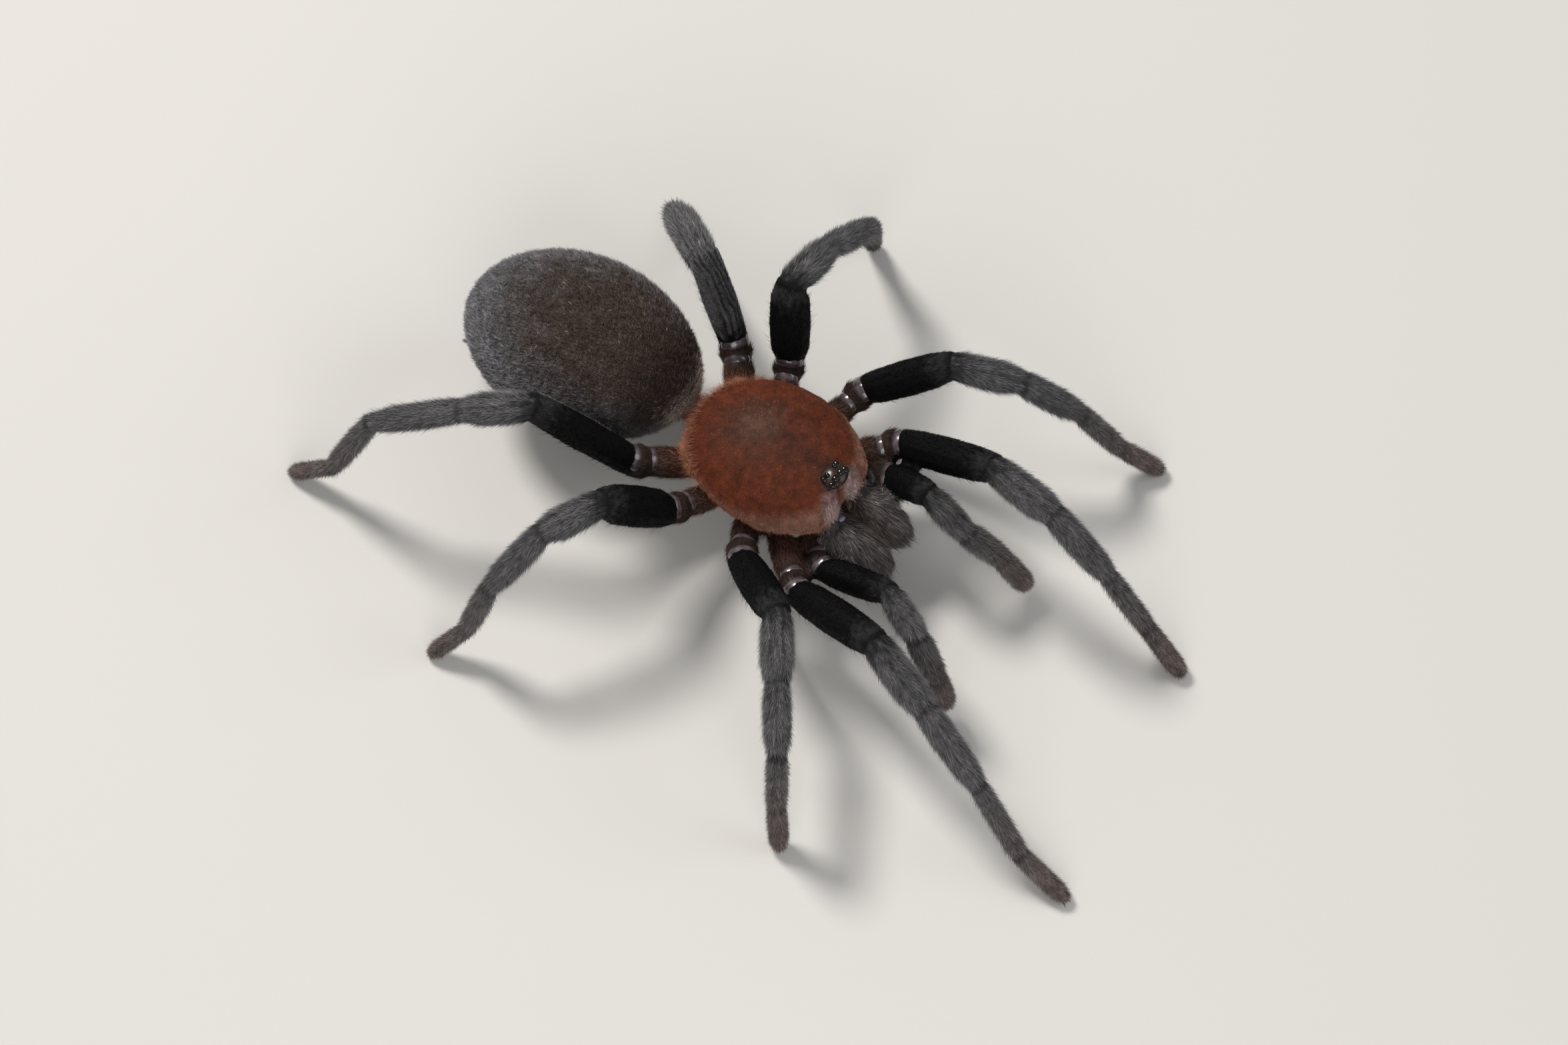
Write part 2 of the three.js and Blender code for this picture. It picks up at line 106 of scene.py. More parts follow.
# How deep the skin lies under the coat's outline, in each zone.
COAT_DEPTH = {
    "abdomen": 0.42,
    "carapace": 0.2,
    "sternum": 0.2,
    "jaw": 0.38,
    "spinneret": 0.14,
    "coxa": 0.2,
    "trochanter": 0.14,
    "femur": 0.16,
    "patella": 0.28,
    "tibia": 0.28,
    "metatarsus": 0.26,
    "tarsus": 0.26,
}

# The short coat of each zone: hairs to the square millimetre, length and width, how far a hair
# stands off the skin, how far it strays from the lie of the coat, in degrees, and how much its
# tone varies.
COAT_COLUMNS = ("density", "length", "width", "lift", "stray", "variation")
COAT = {
    "abdomen": (58, 0.62, 0.058, 28, 60, 0.26),
    "carapace": (130, 0.28, 0.055, 20, 42, 0.2),
    "sternum": (20, 0.7, 0.08, 18, 16, 0.2),
    "jaw": (76, 1.1, 0.05, 13, 9, 0.3),
    "spinneret": (60, 0.5, 0.055, 20, 15, 0.25),
    "coxa": (60, 0.9, 0.045, 18, 22, 0.35),
    "trochanter": (40, 0.7, 0.045, 20, 22, 0.35),
    "femur": (46, 0.5, 0.062, 15, 16, 0.2),
    "patella": (74, 0.84, 0.046, 24, 15, 0.24),
    "tibia": (74, 0.84, 0.046, 25, 14, 0.24),
    "metatarsus": (80, 0.76, 0.045, 27, 14, 0.24),
    "tarsus": (90, 0.6, 0.044, 32, 15, 0.24),
}

# Long hairs of the limbs, to the square millimetre.
BRISTLES = {"femur": 3.5, "patella": 13.0, "tibia": 15.0, "metatarsus": 16.0, "tarsus": 10.0}

ROOT_DEPTH = 0.06  # how far a hair or a band is set into the skin
SKIN_OFF_FLOOR = 0.04
COAT_OFF_FLOOR = 0.02
# Angles round a limb, from its back, of the dark streaks of the hindmost legs.
STREAKS = (-0.55, -0.2, 0.1, 0.45, 0.85)
STREAK_WIDTH = 0.085

EYES = [n for n in frame["nodes"] if n.startswith("eye_")]
FLESH = [n for n in frame["nodes"] if not n.startswith(("eye_", "fang_"))]


# ---------------------------------------------------------------- settings that a user would change


def length_setting(name, text, default, low=0.0):
    """A setting in millimetres, which Blender keeps in metres."""
    sizes = {"default": default * MM, "min": low * MM}
    return FloatProperty(name=name, description=text, unit="LENGTH", subtype="DISTANCE", **sizes)


def share_setting(name, text, default, low, high):
    limits = {"default": default, "min": low, "max": high}
    return FloatProperty(name=name, description=text, subtype="FACTOR", **limits)


def count_setting(name, text, default, **limits):
    return IntProperty(name=name, description=text, default=default, min=0, **limits)


def angle_setting(name, text, degrees):
    turn = math.radians(degrees)
    return FloatProperty(name=name, description=text, default=turn, subtype="ANGLE")


def colour_setting(name, text, default):
    limits = {"default": default, "min": 0.0, "max": 1.0}
    return FloatVectorProperty(name=name, description=text, size=3, subtype="COLOR", **limits)


class TarantulaSkin(bpy.types.PropertyGroup):
    """Sizes of the skin under the coat."""

    grain: length_setting("Grain", "Size of the squares that the skin is made of", 0.22, 0.15)
    closing: length_setting("Closing", "How far a piece swells to close the gaps round it", 0.08)
    smoothing: count_setting("Smoothing", "Rounds of smoothing over the facets", 5, max=20)
    thinning: share_setting("Thinning", "Share of the skin's faces that are kept", 0.42, 0.1, 1.0)


class TarantulaCoat(bpy.types.PropertyGroup):
    """How full the coat is."""

    fullness: share_setting("Fullness", "Share of the normal number of hairs", 1.0, 0.05, 1.2)
    seed: count_setting("Seed", "Another number scatters the hairs in another way", 7)


class TarantulaColours(bpy.types.PropertyGroup):
    """Colours of the coat and the bare parts, as linear light."""

    rust: colour_setting("Rust", "Velvet of the carapace", (0.172, 0.042, 0.018))
    rust_dark: colour_setting("Dark rust", "Mottling round the middle pit", (0.06, 0.034, 0.026))
    fringe: colour_setting("Fringe", "Pale hairs at the carapace margin", (0.5, 0.27, 0.19))
    blush: colour_setting("Blush", "Pale patches over the jaws", (0.72, 0.55, 0.53))
    slate: colour_setting("Slate", "Legs beyond the thighs", (0.163, 0.158, 0.162))
    slate_dark: colour_setting("Dark slate", "Stripes and joint lines", (0.022, 0.021, 0.022))
    mauve: colour_setting("Mauve", "Feet", (0.19, 0.148, 0.134))
    velvet: colour_setting("Velvet", "Thighs", (0.0042, 0.0042, 0.0046))
    wool_brown: colour_setting("Brown wool", "Top of the hind body", (0.068, 0.047, 0.037))
    wool_grey: colour_setting("Grey wool", "Flanks and end of the hind body", (0.19, 0.187, 0.198))
    cream: colour_setting("Cream", "Hairs about the waist", (0.48, 0.37, 0.3))
    jaw_grey: colour_setting("Jaw grey", "Long hair of the jaws", (0.138, 0.125, 0.12))
    jaw_brown: colour_setting("Jaw brown", "Short hair between the jaws", (0.075, 0.045, 0.034))
    shell: colour_setting("Shell", "Bare brown shell of the hips", (0.03, 0.018, 0.015))
    rim: colour_setting("Rim", "Pale bands at the hip joints", (0.085, 0.066, 0.074))


class TarantulaStage(bpy.types.PropertyGroup):
    """Camera, floor and lights."""

    azimuth: angle_setting("Azimuth", "Direction of the camera round the animal", -54.2)
    elevation: angle_setting("Elevation", "Height of the camera over the horizon", 63.0)
    distance: length_setting("Distance", "From the camera to the floor that it looks at", 404.77)
    lens: FloatProperty(name="Lens", description="Focal length in mm", default=100.0, min=20.0)
    floor: colour_setting("Floor", "Plain pale floor", (0.5, 0.485, 0.46))


SETTINGS = {
    "tarantula_skin": TarantulaSkin,
    "tarantula_coat": TarantulaCoat,
    "tarantula_colours": TarantulaColours,
    "tarantula_stage": TarantulaStage,
}


def setting(group):
    return getattr(bpy.context.scene, "tarantula_" + group)


def colour(name):
    return np.array(getattr(setting("colours"), name), float)


# ---------------------------------------------------------------- reading the frame


def node_mesh(name):
    """A CAD node's corners, in millimetres, and its triangles."""
    return points_and_triangles(frame["nodes"][name].data)


def points_and_triangles(mesh):
    mesh.calc_loop_triangles()
    places = np.empty(len(mesh.vertices) * 3)
    mesh.vertices.foreach_get("co", places)
    triangles = np.empty(len(mesh.loop_triangles) * 3, np.int32)
    mesh.loop_triangles.foreach_get("vertices", triangles)
    return places.reshape(-1, 3) / MM, triangles.reshape(-1, 3)


def lengths(vectors):
    return np.sqrt((vectors * vectors).sum(-1))


def units(vectors):
    return vectors / np.maximum(lengths(vectors), 1e-9)[..., None]


def smooth_step(low, high, values):
    share = np.clip((values - low) / (high - low), 0.0, 1.0)
    return share * share * (3 - 2 * share)


def mix(a, b, share):
    return a + (b - a) * np.asarray(share)[..., None]


def ripple(points, size, seed):
    """A smooth random pattern of about this size, from -1 to 1, made of crossing waves."""
    chance = np.random.default_rng(seed)
    total = np.zeros(len(points))
    waves = 7
    for way in units(chance.normal(size=(waves, 3))):
        turn = 2 * math.pi / size * chance.uniform(0.7, 1.4)
        total += np.sin(points @ (way * turn) + chance.uniform(0, 2 * math.pi))
    return total / math.sqrt(waves) * 0.9


def areas_of(places, triangles):
    a, b, c = (places[triangles[:, k]] for k in range(3))
    return lengths(np.cross(b - a, c - a)) / 2


def scatter(weights, count, chance):
    """Triangle numbers and corner shares of points spread evenly by these weights."""
    total = np.cumsum(weights)
    marks = (np.arange(count) + chance.uniform(size=count)) / count * total[-1]
    which = np.minimum(np.searchsorted(total, marks), len(weights) - 1)
    u, v = chance.uniform(size=(2, count))
    over = u + v > 1
    u[over], v[over] = 1 - u[over], 1 - v[over]
    return which, np.stack([1 - u - v, u, v], 1)


def at_shares(values, triangles, which, shares):
    return (values[triangles[which]] * shares[..., None]).sum(1)


def cloud(name, count, chance):
    places, triangles = node_mesh(name)
    which, shares = scatter(areas_of(places, triangles), count, chance)
    return at_shares(places, triangles, which, shares)


def nearest_distance(a, b):
    return np.sqrt(((a[:, None] - b[None]) ** 2).sum(2).min(1))


def meeting_point(a, b):
    """The middle of the thin gap where two clouds of points face each other."""
    near_a, near_b = nearest_distance(a, b), nearest_distance(b, a)
    face_a = a[near_a < np.quantile(near_a, 0.06)]
    face_b = b[near_b < np.quantile(near_b, 0.06)]
    return (face_a.mean(0) + face_b.mean(0)) / 2


def far_end(points, start):
    away = (points - start) @ units(points.mean(0) - start)
    return points[away > np.quantile(away, 0.97)].mean(0)


def nearest_on_line(points, line, reach):
    """For each point its place along a line of points, and the spot there."""
    start, step = line[:-1], np.diff(line, axis=0)
    span = (step * step).sum(1)
    best = np.full(len(points), np.inf)
    place = np.zeros(len(points))
    spot = np.zeros_like(points)
    for k in range(len(step)):
        share = np.clip(((points - start[k]) @ step[k]) / span[k], 0, 1)
        at = start[k] + share[:, None] * step[k]
        gap = ((points - at) ** 2).sum(1)
        closer = gap < best
        best[closer], spot[closer] = gap[closer], at[closer]
        place[closer] = reach[k] + share[closer] * (reach[k + 1] - reach[k])
    return place, spot


def reach_along(line):
    return np.concatenate([[0.0], np.cumsum(lengths(np.diff(line, axis=0)))])


def even_steps(line, step):
    reach = reach_along(line)
    marks = np.linspace(0, reach[-1], max(int(reach[-1] / step), 3))
    return np.stack([np.interp(marks, reach, line[:, k]) for k in range(3)], 1)


def softened(values, rounds):
    for _ in range(rounds):
        values[1:-1] = (values[:-2] + 2 * values[1:-1] + values[2:]) / 4
    return values


def middle_line(points, start, end):
    """The line through the middle of a long bent piece, between its two ends."""
    line = np.array([start, end])
    for pieces in (7, 9, 9):
        reach = reach_along(line)
        place, _ = nearest_on_line(points, line, reach)
        marks = np.linspace(0, reach[-1], pieces + 1)
        middles = [
            points[here].mean(0)
            for low, high in zip(marks[:-1], marks[1:])
            if (here := (place >= low) & (place <= high)).sum() > 12
        ]
        line = softened(np.array([start, *middles[1:-1], end]), 1)
    return line


def limb_line(limb):
    """The middle line of a limb with the places of its joints."""
    chance = np.random.default_rng(len(limb) + ord(limb[-1]))
    names = LEG_NODES if limb in LEGS else PALP_NODES
    clouds = [cloud(f"{limb}_{name}", 1100, chance) for name in names]
    joints = [meeting_point(a, b) for a, b in zip(clouds[:-1], clouds[1:])]
    joints = [far_end(clouds[0], joints[0]), *joints, far_end(clouds[-1], joints[-1])]
    line, joint_steps = [joints[0]], [0]
    for points, start, end in zip(clouds, joints[:-1], joints[1:]):
        piece = even_steps(middle_line(points, start, end), 0.35)
        line.extend(piece[1:])
        joint_steps.append(len(line) - 1)
    line = np.array(line)
    reach = reach_along(line)
    marks = reach[joint_steps]
    if limb in LEGS:
        shin, foot = SHIN_SHARE[limb[-1]], FOOT_SHARE[limb[-1]]
        ends = [marks[1] - TROCHANTER_LENGTH, marks[1], marks[2]]
        ends += [marks[2] + shin * (marks[3] - marks[2]), marks[3]]
        ends += [marks[3] + foot * (marks[4] - marks[3]), marks[4]]
        zones = LIMB_ZONES
    else:
        ends = [marks[1] - TROCHANTER_LENGTH, marks[1], marks[2], marks[3]]
        ends += [marks[3] + PALP_TIP_SHARE * (marks[4] - marks[3]), marks[4]]
        zones = [zone for zone in LIMB_ZONES if zone != "metatarsus"]
    line = softened(line, 2)
    ways = softened(units(np.gradient(line, axis=0)), 2)
    # The hinge line of each joint is level, and the back of the limb is square to it.
    level = softened(np.cross(ways, [0, 0, 1.0]), 12)
    return {
        "line": line,
        "reach": reach,
        "ways": units(ways),
        "backs": units(np.cross(units(level), units(ways))),
        "zones": zones,
        "ends": np.array(ends),
        "mirror": 1.0 if "left" in limb else -1.0,
    }


def read_anatomy():
    """What the coat has to know of the frame: limb lines, and the boxes of the body's parts."""
    boxes = {}
    for name in BODY_ZONES:
        low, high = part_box(name)
        low, high = np.array(low) / MM, np.array(high) / MM
        boxes[name] = ((low + high) / 2, (high - low) / 2)
    eyes = [np.array(sum(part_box(name), Vector())) / 2 / MM for name in EYES]
    return {
        "limbs": {limb: limb_line(limb) for limb in LIMBS},
        "boxes": boxes,
        "mound": np.mean(eyes, 0),
        "middle": boxes["carapace"][0][0],
    }


ANATOMY = {}

# ---------------------------------------------------------------- where a point is on the animal


def hind_way():
    """The hind body's own directions: leftwards, backwards and up, from the waist to its middle."""
    waist = ANATOMY["boxes"]["carapace"][0] + [0, ANATOMY["boxes"]["carapace"][1][1], 0]
    back = ANATOMY["boxes"]["abdomen"][0] - waist
    back[2] = 0
    back = units(back)
    return np.stack([np.array([back[1], -back[0], 0]), back, np.array([0, 0, 1.0])])


def describe(points, normals, nodes):
    """What is known of points on the skin, given the CAD node that each lies in.

    zone and limb are numbers, and limb is -1 off the limbs. place is how far along the limb a
    point lies, and share, behind and ahead say where in its segment. angle is round the limb, from
    its back towards the rear. lie is the way that the coat runs. own is the place in the body
    part's box, from about -1 to 1, or on a limb the way that it points."""
    count = len(points)
    found = {
        "points": points,
        "normals": normals,
        "zone": np.zeros(count, int),
        "limb": np.full(count, -1),
        "place": np.zeros(count),
        "share": np.zeros(count),
        "ahead": np.full(count, 9.0),
        "behind": np.full(count, 9.0),
        "angle": np.zeros(count),
        "lie": np.tile([0.0, 1.0, 0.0], (count, 1)),
        "own": np.zeros((count, 3)),
    }
    for name, zone in BODY_ZONES.items():
        here = nodes == name
        if not here.any():
            continue
        found["zone"][here] = ZONE[zone]
        middle, half = ANATOMY["boxes"][name]
        own = points[here] - middle
        if zone == "abdomen":
            axes = hind_way()
            own = own @ axes.T
            found["lie"][here] = axes[1] + normals[here] * 0 + [0, 0, -0.15]
        elif zone == "carapace":
            pit = middle + [0, 1.2, 0]
            away = points[here] - pit
            away[:, 2] = 0
            strength = smooth_step(0.3, 2.5, lengths(away))[:, None]
            found["lie"][here] = units(away) * strength + [0, 0.25, -0.2]
            found["lie"][here] += smooth_step(-4.0, -7.5, away[:, 1])[:, None] * [0, -1.2, -0.3]
        elif zone == "jaw":
            side = 1.0 if "left" in name else -1.0
            found["lie"][here] = [side * 0.1, -0.8, -0.6]
        elif zone == "spinneret":
            found["lie"][here] = hind_way()[1] + [0, 0, -0.5]
        elif zone == "sternum":
            found["lie"][here] = [0, 1.0, -0.1]
        found["own"][here] = own / half
    for number, limb in enumerate(LIMBS):
        here = np.array([n.startswith(limb) for n in nodes])
        if not here.any():
            continue
        data = ANATOMY["limbs"][limb]
        place, spot = nearest_on_line(points[here], data["line"], data["reach"])
        index = np.clip(np.searchsorted(data["ends"], place), 0, len(data["ends"]) - 1)
        starts = np.concatenate([[0.0], data["ends"][:-1]])
        span = data["ends"][index] - starts[index]
        steps = np.clip(np.searchsorted(data["reach"], place), 0, len(data["line"]) - 1)
        way, back = data["ways"][steps], data["backs"][steps]
        rear = np.cross(back, way) * data["mirror"]
        out = points[here] - spot
        found["zone"][here] = [ZONE[data["zones"][k]] for k in index]
        found["limb"][here] = number
        found["place"][here] = place
        found["share"][here] = np.clip((place - starts[index]) / span, 0, 1)
        found["ahead"][here] = data["ends"][index] - place
        found["behind"][here] = place - starts[index]
        found["angle"][here] = np.arctan2((out * rear).sum(1), (out * back).sum(1))
        found["lie"][here] = way
        found["own"][here] = way
    lie = found["lie"]
    lie -= normals * (lie * normals).sum(1)[:, None]
    found["lie"] = units(lie)
    return found


def among(found, *names):
    return np.isin(found["zone"], [ZONE[n] for n in names])


# ---------------------------------------------------------------- colours by place


def stripes(found, marks, width):
    """How near each point is to thin wavering lines that run along a limb at these angles."""
    waver = ripple(found["points"], 2.6, 31) * 0.05
    near = np.zeros(len(found["points"]))
    for mark in marks:
        gap = (found["angle"] + waver - mark + math.pi) % (2 * math.pi) - math.pi
        near = np.maximum(near, np.exp(-((gap / width) ** 2)))
    return near


def carapace_tint(found):
    points = found["points"]
    left, fore = found["own"][:, 0], -found["own"][:, 1]
    reach = np.sqrt(left**2 + fore**2)
    tint = mix(colour("rust"), colour("rust") * [1.15, 1.1, 1.05], smooth_step(0.45, 0.95, reach))
    patchy = 0.6 * ripple(points, 2.4, 3) + 0.3 * ripple(points, 0.8, 4)
    pit = np.sqrt((left / 0.62) ** 2 + ((fore + 0.2) / 0.62) ** 2)
    middle = np.exp(-((pit / 0.8) ** 2))
    mottled = smooth_step(-0.2, 1.1, middle * 1.25 + 0.4 * patchy - 0.3)
    tint = mix(tint, colour("rust_dark"), mottled * 0.72)
    # Paler dusty hair lies about the pit, and a dark brown band leads from it to the eyes.
    tint = mix(tint, colour("rust_dark") * [3.1, 2.9, 2.5], np.exp(-((pit / 0.36) ** 2)) * 0.65)
    band = np.exp(-((left / 0.17) ** 2)) * smooth_step(0.05, 0.4, fore)
    band = band * smooth_step(0.98, 0.8, fore)
    tint = mix(tint, colour("rust_dark") * 0.9, band * (0.45 + 0.2 * patchy))
    # Shallow dark rays run out from the pit.
    rays = np.cos(np.arctan2(left, fore + 0.2) * 7 + 0.6 * ripple(points, 3.0, 7)) ** 10
    rays = 0.2 * rays * smooth_step(0.15, 0.5, reach) * (1 - smooth_step(0.7, 0.95, reach))
    tint = tint * (1 - rays)[:, None]
    tint = tint * (1 + 0.17 * ripple(points, 0.3, 5) + 0.1 * ripple(points, 1.5, 6))[:, None]
    tint = mix(tint, colour("fringe"), smooth_step(0.93, 1.04, reach) * 0.7)
    return mix(tint, colour("blush"), brow(found) * 0.85)


def brow(found):
    """The two pale patches at the front edge of the carapace, above the jaws."""
    left, fore = np.abs(found["own"][:, 0]), -found["own"][:, 1]
    patch = smooth_step(0.86, 0.95, fore + 0.02 * ripple(found["points"], 0.8, 8))
    return np.clip(patch * smooth_step(0.03, 0.12, left) * smooth_step(0.42, 0.26, left), 0, 1)


def abdomen_tint(found):
    points, own = found["points"], found["own"]
    way = units(own)
    # Brown on top, grey on the flanks and the end: partly the real markings and partly painted
    # sheen of hairs that catch the light at the edges.
    top = smooth_step(0.05, 1.0, way[:, 2] - 0.36 * way[:, 1] + 0.1 * ripple(points, 2.0, 13))
    tint = mix(colour("wool_grey"), colour("wool_brown"), top)
    front = smooth_step(0.35, 0.85, -way[:, 1]) * smooth_step(-0.5, 0.2, way[:, 2])
    tint = mix(tint, colour("wool_brown") * [0.4, 0.32, 0.28], front * 0.9)
    tint = mix(tint, colour("wool_grey") * 0.6, smooth_step(-0.25, -0.85, way[:, 2]))
    curls = 0.2 * ripple(points, 0.8, 11) + 0.26 * ripple(points, 0.4, 15) * (0.4 + 0.6 * top)
    tint = tint * (1 + curls + 0.08 * ripple(points, 3.0, 12))[:, None]
    return mix(tint, colour("cream"), waist_share(found) * 0.3)


def waist_share(found):
    """The front of the hind body below its shoulder, where its hairs are cream."""
    way = units(found["own"])
    rim = smooth_step(0.87, 0.95, -way[:, 1] + 0.05 * ripple(found["points"], 0.8, 14))
    return rim * smooth_step(0.42, 0.1, way[:, 2])


def jaw_tint(found):
    side, top = np.abs(found["points"][:, 0] - ANATOMY["middle"]), found["own"][:, 2]
    base = smooth_step(-0.1, 0.7, found["own"][:, 1])
    brown = smooth_step(1.9, 0.6, side) * (0.3 + 0.7 * base)
    tint = mix(colour("jaw_grey"), colour("jaw_brown"), brown)
    tint = mix(tint, colour("jaw_grey") * 0.6, smooth_step(0.2, -0.9, top) * 0.5)
    return tint * (1 + 0.2 * ripple(found["points"], 0.8, 21))[:, None]


def hip_tint(found):
    back = smooth_step(-0.3, 0.6, np.cos(found["angle"]))
    near = among(found, "coxa") * smooth_step(0.4, 2.2, found["ahead"])
    tint = mix(colour("jaw_brown"), colour("rust") * [0.7, 1.0, 1.3], near * back * 0.45)
    tint = tint * (1 + 0.25 * ripple(found["points"], 0.7, 25))[:, None]
    bare = mix(tint, colour("shell"), 0.65)
    return np.where(among(found, "trochanter")[:, None], bare, tint)


def is_streaked(found):
    """The left hind leg, whose grey streaks run from thigh to knee without a line between."""
    return found["limb"] == LIMBS.index("leg_left_4")


def femur_tint(found):
    """Black velvet, with the hindmost thighs grey and streaked on the rear side."""
    points = found["points"]
    velvet = np.tile(colour("velvet"), (len(points), 1))
    hindmost = is_streaked(found) | (found["limb"] == LIMBS.index("leg_right_4"))
    turn = np.where(is_streaked(found), -1.5, 0.75)
    side = smooth_step(-0.25, 0.25, found["angle"] - turn) * smooth_step(3.1, 2.6, found["angle"])
    side = np.maximum(side, smooth_step(0.7, 0.98, found["share"]) * is_streaked(found))
    start = smooth_step(0.16, 0.34, found["share"] + 0.08 * ripple(points, 1.2, 41))
    grey = hindmost * side * start
    low = smooth_step(-0.35, -0.95, np.cos(found["angle"])) * 0.3
    tint = mix(velvet, colour("slate") * 0.7, low)
    knee = smooth_step(0.78, 1.05, found["share"] + 0.1 * ripple(points, 0.6, 42))
    tint = mix(tint, colour("slate") * 0.4, knee * 0.7)
    streaks = stripes(found, STREAKS, STREAK_WIDTH)
    return mix(tint, mix(colour("slate") * 0.9, colour("velvet") * 2, streaks), grey)


def leg_tint(found):
    points, zone = found["points"], found["zone"]
    tint = np.tile(colour("slate"), (len(points), 1))
    # The feet turn mauve little by little; on the feelers the change begins on the tibia.
    share, feeler = found["share"], found["limb"] >= len(LEGS)
    onward = np.where(zone == ZONE["tarsus"], 0.62 + 0.38 * smooth_step(0.0, 0.7, share), 0.0)
    turning = (zone == ZONE["metatarsus"]) | ((zone == ZONE["tibia"]) & feeler)
    onward = np.where(turning, share * 0.6, onward)
    onward = np.clip(onward + 0.12 * ripple(points, 1.1, 34) * (onward > 0), 0, 1)
    tint = mix(tint, colour("mauve"), onward * (0.75 + 0.25 * np.cos(found["angle"])))
    palm = smooth_step(-0.3, -0.8, np.cos(found["angle"]))
    tint = mix(tint, colour("slate_dark"), palm * np.where(zone == ZONE["tarsus"], 0.75, 0.25))
    lines = np.where(
        zone == ZONE["patella"],
        stripes(found, (-0.42, 0.36), 0.085),
        stripes(found, (-0.5, 0.05, 0.46), 0.06) * 0.75,
    )
    lines = lines * (zone != ZONE["tarsus"]) * smooth_step(0.02, 0.12, share)
    streaks = stripes(found, STREAKS, STREAK_WIDTH) * smooth_step(0.75, 0.1, share)
    lines = np.where(is_streaked(found) & (zone == ZONE["patella"]), streaks, lines)
    tint = mix(tint, colour("slate_dark"), lines * (0.6 + 0.25 * ripple(points, 1.3, 33)))
    black = smooth_step(0.26, -0.02, share + 0.12 * ripple(points, 0.6, 37)) * ~is_streaked(found)
    tint = mix(tint, colour("velvet") * 2, black * (zone == ZONE["patella"]) * 0.85)
    # The fine mottling is drawn out along the limb.
    along = points - found["own"] * (points * found["own"]).sum(1)[:, None] * 0.85
    return tint * (1 + 0.22 * ripple(along, 0.45, 35) + 0.1 * ripple(points, 2.4, 36))[:, None]


def joint_line(found, reach):
    """How near a point is to the thin line where two segments meet.

    The streaked thigh and its knee have no line between them."""
    streaked = is_streaked(found)
    start = np.exp(-((found["behind"] / reach) ** 2)) * ~(streaked & among(found, "patella"))
    end = np.exp(-((found["ahead"] / reach) ** 2)) * ~(streaked & among(found, "femur"))
    return (found["limb"] >= 0) * np.maximum(start, end)


def tint_of(found):
    """The colour of skin and coat at each point, as linear light."""
    ways = {
        carapace_tint: ("carapace",),
        abdomen_tint: ("abdomen", "spinneret"),
        jaw_tint: ("jaw",),
        hip_tint: HIP_ZONES,
        femur_tint: ("femur",),
        leg_tint: SHIN_ZONES,
    }
    tint = np.tile(colour("slate") * 0.45, (len(found["points"]), 1))
    for paint, zones in ways.items():
        here = among(found, *zones)
        if here.any():
            tint[here] = paint({key: value[here] for key, value in found.items()})
    tint = tint * (1 - 0.75 * joint_line(found, 0.17))[:, None]
    return np.clip(tint, 0.002, 1.0)


# ---------------------------------------------------------------- materials


def new_material(name, rough, **sockets):
    """A material with its shader's own values set, and the shader to wire more to."""
    made = bpy.data.materials.new(name)
    made.use_nodes = True
    shader = made.node_tree.nodes["Principled BSDF"]
    shader.inputs["Roughness"].default_value = rough
    for key, value in sockets.items():
        shader.inputs[key.replace("_", " ")].default_value = value
    return made, shader


def add_node(material, kind, **inputs):
    node = material.node_tree.nodes.new(kind)
    for key, value in inputs.items():
        node.inputs[key].default_value = value
    return node


def join(material, source, target):
    material.node_tree.links.new(source, target)


def grain_node(material, scale, detail=3.0, roughness=0.55):
    """Fine grain in the piece's own space, this many to the metre."""
    place = add_node(material, "ShaderNodeTexCoord")
    look = {"Scale": scale, "Detail": detail, "Roughness": roughness}
    noise = add_node(material, "ShaderNodeTexNoise", **look)
    join(material, place.outputs["Object"], noise.inputs["Vector"])
    return noise.outputs["Fac"]


def spread(material, source, low, high):
    """The grain stretched to run from one value to another."""
    limits = {"From Min": 0.3, "From Max": 0.7, "To Min": low, "To Max": high}
    node = add_node(material, "ShaderNodeMapRange", **limits)
    join(material, source, node.inputs["Value"])
    return node.outputs["Result"]


def scaled_colour(material, source, factor):
    node = add_node(material, "ShaderNodeVectorMath")
    node.operation = "SCALE"
    join(material, source, node.inputs[0])
    join(material, factor, node.inputs["Scale"])
    return node.outputs["Vector"]


def bump(material, shader, source, strength, distance):
    node = add_node(material, "ShaderNodeBump", Strength=strength, Distance=distance)
    join(material, source, node.inputs["Height"])
    join(material, node.outputs["Normal"], shader.inputs["Normal"])


def painted_value(material, name):
    """What is painted on the points of a piece under this name."""
    node = add_node(material, "ShaderNodeAttribute")
    node.attribute_name = name
    return node


def coat_material(name, rough, low, high, **sockets):
    """Hair: the painted tint, a little lighter and darker from lock to lock."""
    made, shader = new_material(name, rough, **sockets)
    tint = painted_value(made, "tint")
    tone = spread(made, grain_node(made, 1400.0), low, high)
    join(made, scaled_colour(made, tint.outputs["Color"], tone), shader.inputs["Base Color"])
    return made


def skin_material():
    """Skin with short flat fur: the painted tint with fine bump, glossier where it is bare."""
    made = coat_material("skin", 0.55, 0.7, 1.15, Specular_IOR_Level=0.1)
    shader = made.node_tree.nodes["Principled BSDF"]
    bump(made, shader, grain_node(made, 9000.0, 4.0), 0.6, 0.00006)
    bare = painted_value(made, "bare")
    gloss = add_node(made, "ShaderNodeMapRange", **{"To Min": 0.7, "To Max": 0.22})
    join(made, bare.outputs["Fac"], gloss.inputs["Value"])
    join(made, gloss.outputs["Result"], shader.inputs["Roughness"])
    return made


